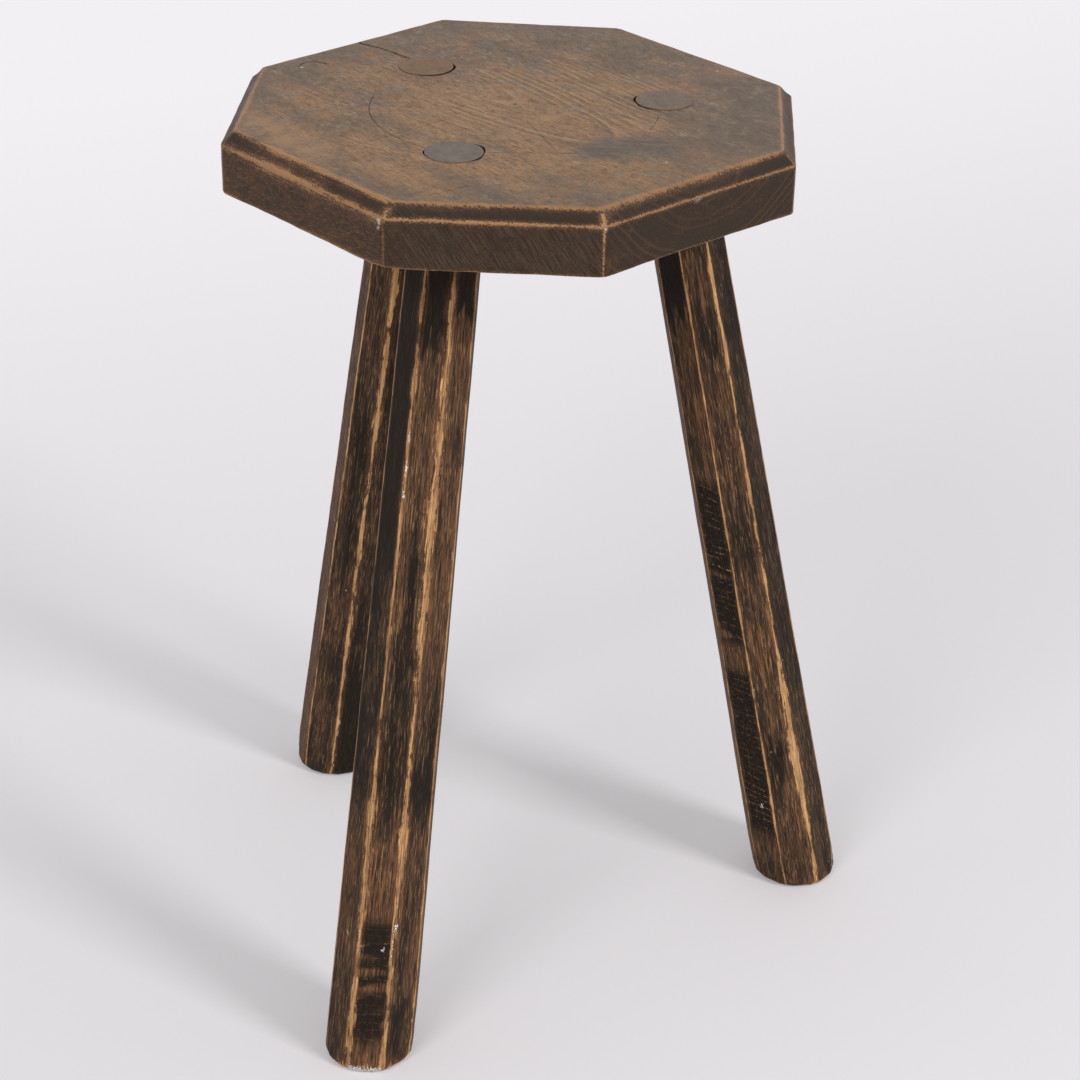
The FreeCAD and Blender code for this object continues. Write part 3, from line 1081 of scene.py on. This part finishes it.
def chamfer_stain(rim):
    """How black each column of the chamfer still is."""
    stain = np.zeros(len(rim.side))
    for side, start, end, strength in CHAMFER_STAIN:
        inside = np.clip(np.minimum(rim.share - start, end - rim.share) / STAIN_ENDS, 0.0, 1.0)
        stain = np.maximum(stain, strength * inside * (rim.side == side))
    return stain


def add_edge(skin, sizes, rim):
    """Add the seat's edge in rows from the top down, and give the numbers of each row's points."""
    (insets, drops, chamfered), arris_rows = rim_profile(sizes, rim)
    steps = np.hypot(np.diff(insets, axis=0), np.diff(drops, axis=0))
    path = np.vstack((np.zeros_like(insets[:1]), np.cumsum(steps, axis=0)))
    bare, reach, thin, end_grain = (np.array(part)[rim.side] for part in zip(*SIDE_WEAR))
    columns = np.arange(len(rim.side))
    easing = sizes.upright_easing * (0.5 + wander(rim.round, 14, 5))
    stain = chamfer_stain(rim)
    spilt = np.clip(2 * (stain - 1), 0.0, 1.0)
    rings = []
    for row, (inset, drop) in enumerate(zip(insets, drops)):
        points = np.column_stack((rim.at(inset, easing), SEAT_MIDDLE.z - drop))
        above_lower_arris = row < arris_rows[1]

        # Each point is worn by the nearest arris, of the three along the edge or of the corner
        to_arrises = np.abs(path[row] - path[list(arris_rows)])
        nearest = np.argmin(to_arrises, axis=0)
        arris = to_arrises[nearest, columns]
        on_chamfer = drop.max() > sizes.chamfer / 3
        upright = rim.to_corner if on_chamfer else np.full(len(columns), FAR_FROM_ARRIS)
        corner_bare = np.array(HIP_BARE if above_lower_arris else UPRIGHT_BARE)[rim.corner]
        corner_reach = np.array(HIP_REACH if above_lower_arris else UPRIGHT_REACH)[rim.corner]
        by_corner = upright / corner_reach < arris / reach[columns, nearest]

        spilt_here = spilt * min(row / STAIN_ROWS, 1.0) if above_lower_arris else 0.0
        chip = chip_marks(points)
        drawn_in = noise_at(points, EDGE_DENTS) * EDGE_DENT_DEPTH + chip * EDGE_CHIP_DEPTH
        points[:, :2] += rim.inward * drawn_in[:, None]
        rings.append(skin.add(
            points, arris=np.where(by_corner, upright, arris),
            reach=np.where(by_corner, corner_reach, reach[columns, nearest]) * MM,
            worn=np.where(by_corner, corner_bare, bare[columns, nearest]),
            stained=np.clip((row - STAIN_FIRST_ROW) / STAIN_ROWS, 0.0, 1.0),
            dark=np.minimum(stain, 1.0) * np.maximum(chamfered[row], spilt_here),
            sawn=(rim.side == 0) * (1.0 if row > arris_rows[1] else 0.0),
            thin=thin, end_grain=end_grain, chip=chip))
    for ring, next_ring in zip(rings[:-1], rings[1:]):
        skin.band(next_ring, ring)
    return rings


def clear_of_holes(grid, rim, edge_room, sockets, radius):
    """Which points of the plan lie so far inside the sides, and so far from each socket's middle."""
    clear = rim.depth_inside(grid)[0] > edge_room
    for socket in sockets:
        clear &= np.linalg.norm(grid - socket.mean(axis=0), axis=1) > radius
    return clear


def close_plate(skin, numbers, faces, fixed, ring, sockets):
    """Close a plate onto a ring of the edge, and give the numbers of its points round each socket."""
    rename = dict(zip(numbers[fixed[:len(ring)]].tolist(), ring.tolist()))
    skin.faces.extend(tuple(rename.get(i, i) for i in numbers[list(face)].tolist()) for face in faces)
    return np.split(numbers[fixed[len(ring):]], len(sockets))


def top_cuts(places, lines):
    """How dark the cuts are at each point of the top, and how deep."""
    cut = np.zeros(len(places))
    sunk = np.zeros(len(places))
    for line, half_width, groove, strength in lines:
        share = np.clip(1 - distance_to_path(places, line) / half_width, 0.0, 1.0)
        cut = np.maximum(cut, share * strength)
        sunk = np.maximum(sunk, share * groove)
    by_spot = np.linalg.norm(places - plan(NAIL_SPOT), axis=1) / (NAIL_SPOT_SIZE * MM)
    return np.maximum(cut, np.clip(1.4 - by_spot, 0.0, 1.0)), sunk


def soft_stripe(places, path, width):
    """How much of each point of the top lies in a broad soft mark along a line."""
    return np.clip(1.5 - distance_to_path(places, plan(path)) / (width * MM), 0.0, 1.0)


def add_top(skin, sizes, leg_sizes, rim, ring, sockets):
    """Add the top with its cuts and marks, and give the numbers of the points round each socket."""
    lines = scratches()
    dots = [dot_points(place) for place in (NAIL_SPOT, *(chip[0] for chip in CHIPS if chip[1] == 0.0))]

    def clear_of_marks(grid):
        clear = clear_of_holes(
            grid, rim, sizes.chamfer + EDGE_ROOM, sockets, leg_sizes.tenon / 2 + HOLE_ROOM)
        for line, half_width, _, _ in lines:
            clear &= distance_to_path(grid, line) > half_width + LINE_ROOM
        return clear

    outline = np.array([skin.points[i][:2] for i in ring])
    places, faces, fixed = mesh_plate(outline, sockets, lines, dots, TOP_SPACING, clear_of_marks)
    depth, nearest_side = rim.depth_inside(places)
    inner = np.maximum(depth - sizes.chamfer, 0.0)
    cut, sunk = top_cuts(places, lines)
    from_middle = np.linalg.norm(places - np.array(SEAT_MIDDLE)[:2], axis=1)
    dish = sizes.dishing * np.clip(1 - (from_middle / (DISH_SHARE * sizes.width)) ** 2, 0.0, 1.0)
    swell = noise_at(at_height(places, 0.0), SWELLS) * SWELL_HEIGHT
    ripple = noise_at(at_height(places, RIPPLE_LAYER), RIPPLES) * RIPPLE_HEIGHT
    heights = SEAT_MIDDLE.z - sunk + np.clip(inner / LEVEL_RIM, 0.0, 1.0) * (swell + ripple) - dish
    top = skin.add(
        np.column_stack((places, heights)), arris=inner, cut=cut,
        smudge=soft_stripe(places, SMUDGE, SMUDGE_WIDTH),
        handled=soft_stripe(places, HANDLED, HANDLED_WIDTH),
        chip=chip_marks(at_height(places, SEAT_MIDDLE.z)),
        worn=np.array([side.bare[0] for side in SIDE_WEAR])[nearest_side],
        reach=np.array([side.reach[0] for side in SIDE_WEAR])[nearest_side] * MM)
    return close_plate(skin, top, faces, fixed, ring, sockets)


def add_underside(skin, sizes, leg_sizes, rim, ring, sockets):
    """Add the flat underside, and give the numbers of the points round each socket."""
    def clear_of_edge(grid):
        return clear_of_holes(grid, rim, UNDER_EDGE_ROOM, sockets, leg_sizes.tenon / 2 + UNDER_HOLE_ROOM)

    outline = np.array([skin.points[i][:2] for i in ring])
    places, faces, fixed = mesh_plate(outline, sockets, [], [], UNDER_SPACING, clear_of_edge)
    under = skin.add(
        at_height(places, SEAT_MIDDLE.z - sizes.thickness),
        arris=FAR_FROM_ARRIS, reach=MM, stained=1.0, thin=0.3)
    return close_plate(skin, under, [face[::-1] for face in faces], fixed, ring, sockets)


def build_seat_mesh(sizes, leg_sizes):
    """The seat's skin: edge rows, top with its sockets and cuts, underside, and the socket walls, painted
    black from the lip down as shade in the gap round each tenon.
    """
    skin = Skin()
    rim = Rim(sizes)
    rings = add_edge(skin, sizes, rim)
    upper, lips, lower = zip(*socket_rings(leg_sizes, sizes))
    socket_tops = add_top(skin, sizes, leg_sizes, rim, rings[0], [outline[:, :2] for outline in upper])
    socket_ends = add_underside(
        skin, sizes, leg_sizes, rim, rings[-1], [outline[:, :2] for outline in lower])
    for socket_top, lip_ring, socket_end in zip(socket_tops, lips, socket_ends):
        # Painted shade: the socket wall is black at the lip and fades down to the underside
        lip = skin.add(lip_ring, arris=FAR_FROM_ARRIS, reach=MM, stained=1.0, cut=1.0)
        skin.band(lip, socket_top)
        skin.band(socket_end, lip)
    return skin


def finish_mesh(mesh, sharp_angle):
    """Weld, drop loose points, turn faces outwards and smooth all but the sharp edges."""
    work = bmesh.new()
    work.from_mesh(mesh)
    bmesh.ops.remove_doubles(work, verts=work.verts, dist=0.001 * MM)
    bmesh.ops.delete(work, geom=[v for v in work.verts if not v.link_faces], context="VERTS")
    bmesh.ops.recalc_face_normals(work, faces=work.faces)
    work.to_mesh(mesh)
    work.free()
    mesh.shade_smooth()
    mesh.set_sharp_from_angle(angle=math.radians(sharp_angle))


def show_piece(name, mesh, node):
    """Put a finished piece in the scene in place of its CAD node."""
    piece = bpy.data.objects.new(name, mesh)
    bpy.context.scene.collection.objects.link(piece)
    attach(piece, "root")
    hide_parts(node)


class STOOL_OT_seat(bpy.types.Operator):
    """Make the plank seat with its chamfered edge, sockets, scribed lines and wear."""

    bl_idname = "stool.make_seat"
    bl_label = "Make the seat"

    def execute(self, context):
        scene = context.scene
        skin = build_seat_mesh(scene.stool_seat, scene.stool_legs)
        mesh = bpy.data.meshes.new("plank_seat")
        mesh.from_pydata(skin.points, [], skin.faces)
        for name, values in skin.marks.items():
            write_values(mesh, name, values)
        finish_mesh(mesh, 40.0)
        mesh.materials.append(seat_wood(scene.stool_colours))
        show_piece("plank_seat", mesh, "seat")
        return {"FINISHED"}


# Legs


# How finely a leg is divided: columns on each side, and rings up the foot's edge, the shaft and the tenon
LEG_COLUMNS = 14
FOOT_RINGS = 9
SHAFT_RINGS = 380
TENON_RINGS = 6
# How much closer the tenon's rings lie towards its end, and how fast its wall is painted black below that, as
# painted shade in the gap of the socket
TENON_CROWDING = 2.5
WALL_SHADE_RISE = 90.0
# Steps through the noise from side to side, arris to arris and leg to leg, so that none wander alike
SIDE_STEP = 7.3
SIDE_LEG_STEP = 3.1
ARRIS_STEP = 5.7
ARRIS_LEG_STEP = 2.3
# Near the floor the arrises are worn wider: the heights between which that grows, and by how much
LOW_WEAR_HEIGHTS = (24.0 * MM, 2.0 * MM)
LOW_WEAR = 3.5
# How saw marks fade in about their start and out about their end, and how they keep off the arrises
SAW_FADE_IN = (-4.0 * MM, 6.0 * MM)
SAW_FADE_OUT = (4.0 * MM, -12.0 * MM)
SAW_OFF_ARRIS = (0.6 * MM, 1.6 * MM)
SAW_DEPTH = 0.28 * MM
PLANING_DEPTH = 0.22 * MM
# The foot's edge is worn from just below the floor, and one leg is scuffed pale low down about one
# place, counted in sides: the heights and the spread over which that fades in
FLOOR_ROOM = 0.4 * MM
SCUFFED_LEG = "front_leg"
SCUFF_PLACE = 1.15
SCUFF_HEIGHTS = (6.0 * MM, 2.5 * MM)
SCUFF_SPREAD = (0.95, 0.10)
# How stain, chips and wide wear fade at their ends, in millimetres down a leg and as a share across it,
# how ragged the ends of stain are, and the scale of that
STAIN_FADE = 7.0
STAIN_RAGGED = 18.0
CHIP_FADE = 2.0
FADE_ACROSS = 0.15
CHIP_FADE_ACROSS = 0.05
FLAME_FADE = 30.0
CREEP_ACROSS = 0.6
CREEP_DOWN = 6.0
LEG_INPUTS = {
    **dict.fromkeys(("Foot", "Top"), "NodeSocketVector"),
    **dict.fromkeys((
        "Turn", "Underside", "Top Width", "Foot Width", "Tenon", "Arris", "Foot Round", "Unevenness",
        "Sawn Side", "Sawn From", "Sawn To", "Sawn Gaps", "Chipped", "Foot Wear", "Seed"), "NodeSocketFloat"),
    "Finish": "NodeSocketMaterial",
}


def shape_step(tree, kind, shape, inputs=()):
    """Pass a shape through a geometry node."""
    return Wire(add_node(tree, "GeometryNode" + kind, {"Geometry": shape, **dict(inputs)}).outputs[0])


def store(tree, shape, name, value):
    """Keep a value at each point of a shape, under a name that the finish reads."""
    made = add_node(
        tree, "GeometryNodeStoreNamedAttribute", {"Geometry": shape, "Name": name},
        data_type="FLOAT_VECTOR" if value.socket.type == "VECTOR" else "FLOAT")
    socket = next(entry for entry in made.inputs if entry.name == "Value" and entry.enabled)
    feed(socket, value)
    return Wire(made.outputs[0])


def ring_progress(ring):
    """How far each ring has come round the foot's edge, up the shaft, over the shoulder, up the tenon."""
    shaft_start = 1 + FOOT_RINGS
    shoulder_start = shaft_start + SHAFT_RINGS
    round_foot = ((ring - 1.0) / FOOT_RINGS).clamped() * (math.pi / 2)
    up_shaft = ((ring - shaft_start) / SHAFT_RINGS).clamped()
    past_shoulder = (ring - shoulder_start).clamped()
    down_tenon = 1.0 - ((ring - (shoulder_start + 1)) / TENON_RINGS).clamped()
    return round_foot, up_shaft, past_shoulder, 1.0 - down_tenon.calc("POWER", TENON_CROWDING)


LegOctagon = namedtuple("LegOctagon", "x y distance to_arris arris")


def leg_octagon(given, side, share, height, width):
    """The octagon at each height: sides planed by hand, which wander, and arrises worn unevenly."""
    def side_distance(offset):
        number = (side + float(SIDES + offset)).calc("MODULO", SIDES)
        place = vector(number * SIDE_STEP, given["Seed"] * SIDE_LEG_STEP, height)
        return width * 0.5 + (cloud(place, 1.0, 11.0, 3.0) - 0.5) * 2.0 * given["Unevenness"]

    # An arris lies where two sides meet
    distance = side_distance(0)
    turn_cos, turn_sin = math.cos(2 * HALF_TURN), math.sin(2 * HALF_TURN)
    end = (side_distance(1) - distance * turn_cos) / turn_sin
    start = (distance * turn_cos - side_distance(-1)) / turn_sin
    along_side = start + (end - start) * share
    second_half = share.calc("GREATER_THAN", 0.5)
    to_arris = (along_side - start).calc("MINIMUM", end - along_side)

    arris = (side + second_half).calc("MODULO", SIDES)
    place = vector(arris * ARRIS_STEP, given["Seed"] * ARRIS_LEG_STEP, height)
    wear = given["Arris"] * (cloud(place, 1.0, 24.0, 4.0, 0.65) * 3.0 - 0.6).calc("MAXIMUM", 0.25)
    wear = wear * (1.0 + height.rise(*LOW_WEAR_HEIGHTS) * LOW_WEAR)
    lost = (wear - to_arris).calc("SMOOTH_MAX", 0.0, given["Arris"] * 0.6) * math.sin(HALF_TURN)

    facing = side * (2 * HALF_TURN) + given["Turn"]
    bisector = facing + (second_half * 2.0 - 1.0) * HALF_TURN
    face_cos, face_sin = facing.calc("COSINE"), facing.calc("SINE")
    x = distance * face_cos - along_side * face_sin - lost * bisector.calc("COSINE")
    y = distance * face_sin + along_side * face_cos - lost * bisector.calc("SINE")
    return LegOctagon(x, y, distance, to_arris, arris)


def saw_steps(given, side, down, octagon):
    """Saw marks on part of one side, and the share that they and the plane left of the leg's reach."""
    on_side = 1.0 - (side - given["Sawn Side"]).calc("ABSOLUTE").clamped()
    place = vector(octagon.x, octagon.y, down + given["Seed"])
    patches = cloud(place, 30.0, 26.0, 3.0) * 0.5 + cloud(place, 20.0, 110.0, 1.0) * 0.5
    begun = down.rise(*(given["Sawn From"] + fade for fade in SAW_FADE_IN))
    unended = down.rise(*(given["Sawn To"] + fade for fade in SAW_FADE_OUT))
    off_arris = octagon.to_arris.rise(*SAW_OFF_ARRIS)
    sawn = on_side * begun * unended * off_arris * (patches - given["Sawn Gaps"]).rise(-0.03, 0.03)
    steps = cloud(place, 24.0, 330.0, 1.0).rise(0.35, 0.72)
    planed = (cloud(place, 130.0, 45.0, 2.0) - 0.5) * PLANING_DEPTH
    return sawn, 1.0 + (planed - sawn * (1.0 - steps) * SAW_DEPTH) / octagon.distance


def build_leg_tree():
    """An octagonal leg that tapers from foot to seat, cut level at both, with a round tenon."""
    tree, given, result = start_group(
        "octagonal_leg", "GeometryNodeTree", LEG_INPUTS, {"Leg": "NodeSocketGeometry"})
    rings = 4 + FOOT_RINGS + SHAFT_RINGS + TENON_RINGS
    sheet = add_node(
        tree, "GeometryNodeMeshGrid", {"Vertices X": SIDES * LEG_COLUMNS + 1, "Vertices Y": rings})
    index = Wire(tree.nodes.new("GeometryNodeInputIndex").outputs[0])
    column = (index / rings).calc("FLOOR")
    ring = index.calc("MODULO", rings)
    round_foot, up_shaft, past_shoulder, up_tenon = ring_progress(ring)
    spread = ring.clamped() * (float(rings - 1) - ring).clamped()

    foot, top = given["Foot"], given["Top"]
    line = top - foot
    up = line.calc("NORMALIZE")
    outward = (foot - top).calc("MULTIPLY", (1.0, 1.0, 0.0))
    out = (outward - up * outward.calc("DOT_PRODUCT", up)).calc("NORMALIZE")
    across = up.calc("CROSS_PRODUCT", out)
    out_rise, across_rise, up_rise, top_height = (part.parts()[2] for part in (out, across, up, top))
    underside, foot_round = given["Underside"], given["Foot Round"]
    height = (foot_round * (1.0 - round_foot.calc("COSINE")) + up_shaft * (underside - foot_round)
              + up_tenon * (top_height - underside))
    down = (top_height - height) / up_rise
    width = given["Foot Width"] + (given["Top Width"] - given["Foot Width"]) * (height / underside).clamped()

    side = (column / LEG_COLUMNS).calc("FLOOR").calc("MODULO", SIDES)
    step = column.calc("MODULO", LEG_COLUMNS) / LEG_COLUMNS
    share = 0.5 - (step * math.pi).calc("COSINE") * 0.5
    octagon = leg_octagon(given, side, share, height, width)
    sawn, pulled = saw_steps(given, side, down, octagon)

    # The foot's edge is rounded in, the tenon is round, and both ends close on the axis
    inset = 1.0 - foot_round * (1.0 - round_foot.calc("SINE")) * 2.0 / width
    section = vector(octagon.x, octagon.y, 0.0) * (pulled * inset)
    rod = section.calc("NORMALIZE") * (given["Tenon"] * 0.5)
    section = (section + (rod - section) * past_shoulder) * spread
    x, y, _ = section.parts()
    slide = (x * out_rise + y * across_rise) / up_rise
    position = foot + line * (height / top_height) + out * x + across * y - up * slide

    to_floor = (height + FLOOR_ROOM) / given["Foot Wear"]
    scuffed = height.rise(*SCUFF_HEIGHTS) * (side - SCUFF_PLACE).calc("ABSOLUTE").rise(*SCUFF_SPREAD)
    marks = {
        "leg_place": vector(x, y, down + slide + given["Seed"]),
        "down": down,
        "side": side,
        "across": share,
        "edge": octagon.arris,
        "arris": octagon.to_arris.calc("MINIMUM", to_floor) + past_shoulder * FAR_FROM_ARRIS,
        "sawn": sawn * (1.0 - past_shoulder),
        "tenon": past_shoulder,
        # The tenon's side below the top, painted black as shade in the socket's gap
        "tenon_wall": ((1.0 - up_tenon) * WALL_SHADE_RISE).clamped(),
        "chip": given["Chipped"] * scuffed,
    }
    shape = shape_step(tree, "SetPosition", Wire(sheet.outputs[0]), {"Position": position})
    for name, value in marks.items():
        shape = store(tree, shape, name, value)
    shape = shape_step(tree, "MergeByDistance", shape, {"Distance": 0.001 * MM})
    shape = shape_step(tree, "RealizeInstances", shape)
    shape = shape_step(tree, "SetMaterial", shape, {"Material": given["Finish"]})
    feed(result.inputs["Leg"], shape)
    return tree


def mesh_from_tree(tree, values):
    """Run a geometry tree with the given inputs, and take its result as a plain mesh."""
    holder = bpy.data.objects.new("leg_blank", bpy.data.meshes.new("leg_blank"))
    bpy.context.scene.collection.objects.link(holder)
    modifier = holder.modifiers.new("shape", "NODES")
    modifier.node_group = tree
    for entry in tree.interface.items_tree:
        if entry.in_out == "INPUT":
            modifier[entry.identifier] = values[entry.name]
    shown = holder.evaluated_get(bpy.context.evaluated_depsgraph_get())
    mesh = bpy.data.meshes.new_from_object(shown)
    holder.modifiers.remove(modifier)
    bpy.data.objects.remove(holder)
    return mesh


def read_values(mesh, name):
    values = np.empty(len(mesh.vertices))
    mesh.attributes[name].data.foreach_get("value", values)
    return values


def write_values(mesh, name, values):
    if name not in mesh.attributes:
        mesh.attributes.new(name, "FLOAT", "POINT")
    mesh.attributes[name].data.foreach_set("value", values)


def mark_leg(mesh, name):
    """Lay out on a leg where its stain is thick or thin, how far each arris is worn, and its chips."""
    side, down, across = (read_values(mesh, part) for part in ("side", "down", "across"))
    # Stain creeps along the fibres, so its ends are ragged
    fibres = zip(side * SIDES + across * LEG_COLUMNS * CREEP_ACROSS, down * CREEP_DOWN)
    creep = np.array([solid_noise.noise(Vector((*fibre, LEG_NAMES.index(name)))) for fibre in fibres])

    def window(number, stretch, share, fade, ragged=0.0, fade_across=FADE_ACROSS):
        shifted = down / MM + creep * ragged
        along = np.minimum(shifted - stretch[0], stretch[1] - shifted) / fade
        beside = np.minimum(across - share[0], share[1] - across) / fade_across
        return np.clip(np.minimum(along, beside) + 0.5, 0.0, 1.0) * (side == number)

    thin = sum(window(*patch[:3], STAIN_FADE, STAIN_RAGGED) * patch[3] for patch in LEG_STAIN[name])
    write_values(mesh, "thin", thin)
    edge = read_values(mesh, "edge").round().astype(int)
    reach = np.array(LEG_ARRIS_REACH[name])[edge]
    for arris, (start, end), extra in LEG_FLAMES[name]:
        along = np.minimum(down / MM - start, end - down / MM) / FLAME_FADE + 0.5
        reach += extra * np.clip(along, 0.0, 1.0) * (edge == arris)
    write_values(mesh, "reach", reach * MM)
    sawn = read_values(mesh, "sawn")
    for gap in SAW_GAPS[name]:
        sawn *= 1.0 - window(*gap, STAIN_FADE)
    write_values(mesh, "sawn", sawn)
    chips = [window(*patch, CHIP_FADE, 0.0, CHIP_FADE_ACROSS) for patch in LEG_CHIPS[name]]
    write_values(mesh, "chip", np.max([read_values(mesh, "chip"), *chips], axis=0))
    whole_leg = {
        "ridged": SAW_MARKS[name].rubbed, "tenon_grey": TENON_GREY[name], "painted_highlight": LEG_PAINTED_HIGHLIGHT[name]}
    for mark, value in whole_leg.items():
        write_values(mesh, mark, np.full(len(down), value))


class STOOL_OT_legs(bpy.types.Operator):
    """Make the three octagonal legs with their tenons, arris wear and saw marks."""

    bl_idname = "stool.make_legs"
    bl_label = "Make the legs"

    def execute(self, context):
        scene = context.scene
        sizes = scene.stool_legs
        finish = leg_wood(scene.stool_colours)
        tree = build_leg_tree()
        for number, name in enumerate(LEG_NAMES):
            axis = leg_axis(name)
            saw = SAW_MARKS[name]
            mesh = mesh_from_tree(tree, {
                "Foot": axis.foot, "Top": axis.top, "Turn": axis.turn, "Underside": SEAT_LOW.z,
                "Top Width": sizes.top_width, "Foot Width": sizes.foot_width, "Tenon": sizes.tenon,
                "Arris": sizes.arris, "Foot Round": sizes.foot_round, "Unevenness": sizes.unevenness,
                "Sawn Side": float(saw.side), "Sawn From": saw.start, "Sawn To": saw.end,
                "Sawn Gaps": saw.broken, "Chipped": 1.0 if name == SCUFFED_LEG else 0.0,
                "Foot Wear": FOOT_WEAR[name], "Seed": float(number + 1), "Finish": finish,
            })
            mesh.name = "octagonal_" + name
            mark_leg(mesh, name)
            finish_mesh(mesh, 50.0)
            show_piece("octagonal_" + name, mesh, name)
        return {"FINISHED"}


# Studio


FLOOR_RADIUS = 14.0
# The camera's place, how far it is turned to the left, tipped down and rolled, and its lens
CAMERA_PLACE = Vector((0.0550, -1.28665, 0.9324))
CAMERA_TURN = math.radians(2.844)
CAMERA_FALL = math.radians(28.40)
CAMERA_ROLL = 0.019
CAMERA_LENS = 90.73
# Bearing and rise of each lamp in degrees, and its distance and size
KEY_LIGHT = (-33.0, 38.0, 2.4, 0.5)
FILL_LIGHT = (-118.0, 38.0, 2.4, 0.95)


def add_lamp(name, bearing, rise, distance, size, level):
    """A soft square lamp aimed at the stool, of a level that shows a colour about as it is written."""
    lamp = bpy.data.lights.new(name, "AREA")
    lamp.size = size
    lamp.energy = level * (math.pi * distance) ** 2
    holder = bpy.data.objects.new(name, lamp)
    turn, lift = math.radians(bearing), math.radians(rise)
    toward = Vector((math.cos(turn) * math.cos(lift), math.sin(turn) * math.cos(lift), math.sin(lift)))
    aim = Vector((0.0, 0.0, SEAT_MIDDLE.z / 2))
    holder.location = aim + toward * distance
    holder.rotation_euler = toward.to_track_quat("Z", "Y").to_euler()
    bpy.context.scene.collection.objects.link(holder)


def add_sky(look):
    """Even light from all round, which the camera and reflections see as the pale backdrop."""
    world = bpy.data.worlds.new("studio_sky")
    bpy.context.scene.world = world
    world.use_nodes = True
    tree = world.node_tree
    light = tree.nodes["Background"]
    light.inputs["Color"].default_value = (1.0, 1.0, 1.0, 1.0)
    light.inputs["Strength"].default_value = look.sky_level
    backdrop = add_node(tree, "ShaderNodeBackground", {"Color": (*look.backdrop, 1.0), "Strength": 1.0})
    seen = seen_directly(tree)
    both = add_node(tree, "ShaderNodeMixShader", {
        0: seen, 1: Wire(light.outputs[0]), 2: Wire(backdrop.outputs[0])})
    feed(tree.nodes["World Output"].inputs["Surface"], Wire(both.outputs[0]))


def add_floor(look):
    mesh = bpy.data.meshes.new("floor")
    work = bmesh.new()
    bmesh.ops.create_circle(work, cap_ends=True, segments=96, radius=FLOOR_RADIUS)
    work.to_mesh(mesh)
    work.free()
    mesh.materials.append(paper_floor(look))
    floor = bpy.data.objects.new("floor", mesh)
    bpy.context.scene.collection.objects.link(floor)


def add_camera():
    scene = bpy.context.scene
    camera = bpy.data.objects.new("camera", bpy.data.cameras.new("camera"))
    camera.data.lens = CAMERA_LENS
    back = Vector((math.sin(CAMERA_TURN) * math.cos(CAMERA_FALL),
                   -math.cos(CAMERA_TURN) * math.cos(CAMERA_FALL), math.sin(CAMERA_FALL)))
    level = Vector((0.0, 0.0, 1.0)).cross(back).normalized()
    above = back.cross(level)
    right = level * math.cos(CAMERA_ROLL) + above * math.sin(CAMERA_ROLL)
    turned = Matrix((right, back.cross(right), back)).transposed()
    camera.matrix_world = Matrix.Translation(CAMERA_PLACE) @ turned.to_4x4()
    scene.collection.objects.link(camera)
    scene.camera = camera


class STOOL_OT_stage(bpy.types.Operator):
    """Lay the paper floor, hang the lamps and set up the camera."""

    bl_idname = "stool.set_stage"
    bl_label = "Set the stage"

    def execute(self, context):
        look = context.scene.stool_studio
        add_floor(look)
        add_sky(look)
        add_lamp("key_lamp", *KEY_LIGHT, look.key_level)
        add_lamp("second_lamp", *FILL_LIGHT, look.fill_level)
        add_camera()
        context.scene.view_settings.view_transform = "Standard"
        return {"FINISHED"}


class STOOL_PT_sidebar(bpy.types.Panel):
    """The stool's sizes and colours, and the steps that build it."""

    bl_label = "Milking stool"
    bl_idname = "STOOL_PT_sidebar"
    bl_space_type = "VIEW_3D"
    bl_region_type = "UI"
    bl_category = "Stool"

    def draw(self, context):
        for group in SCENE_GROUPS:
            box = self.layout.box()
            values = getattr(context.scene, group)
            for name in values.__annotations__:
                box.prop(values, name)
        for operator in OPERATORS:
            self.layout.operator(operator.bl_idname)


SCENE_GROUPS = {
    "stool_seat": SeatSizes, "stool_legs": LegSizes,
    "stool_colours": StoolColours, "stool_studio": StudioLook,
}
OPERATORS = (STOOL_OT_seat, STOOL_OT_legs, STOOL_OT_stage)
CLASSES = (*SCENE_GROUPS.values(), *OPERATORS, STOOL_PT_sidebar)


def register():
    for entry in CLASSES:
        bpy.utils.register_class(entry)
    for name, group in SCENE_GROUPS.items():
        setattr(bpy.types.Scene, name, PointerProperty(type=group))


def unregister():
    for name in SCENE_GROUPS:
        delattr(bpy.types.Scene, name)
    for entry in reversed(CLASSES):
        bpy.utils.unregister_class(entry)


def main():
    register()
    build_fibres_group()
    build_arris_group()
    build_specks_group()
    bpy.ops.stool.make_seat()
    bpy.ops.stool.make_legs()
    bpy.ops.stool.set_stage()


if __name__ == "__main__":
    main()
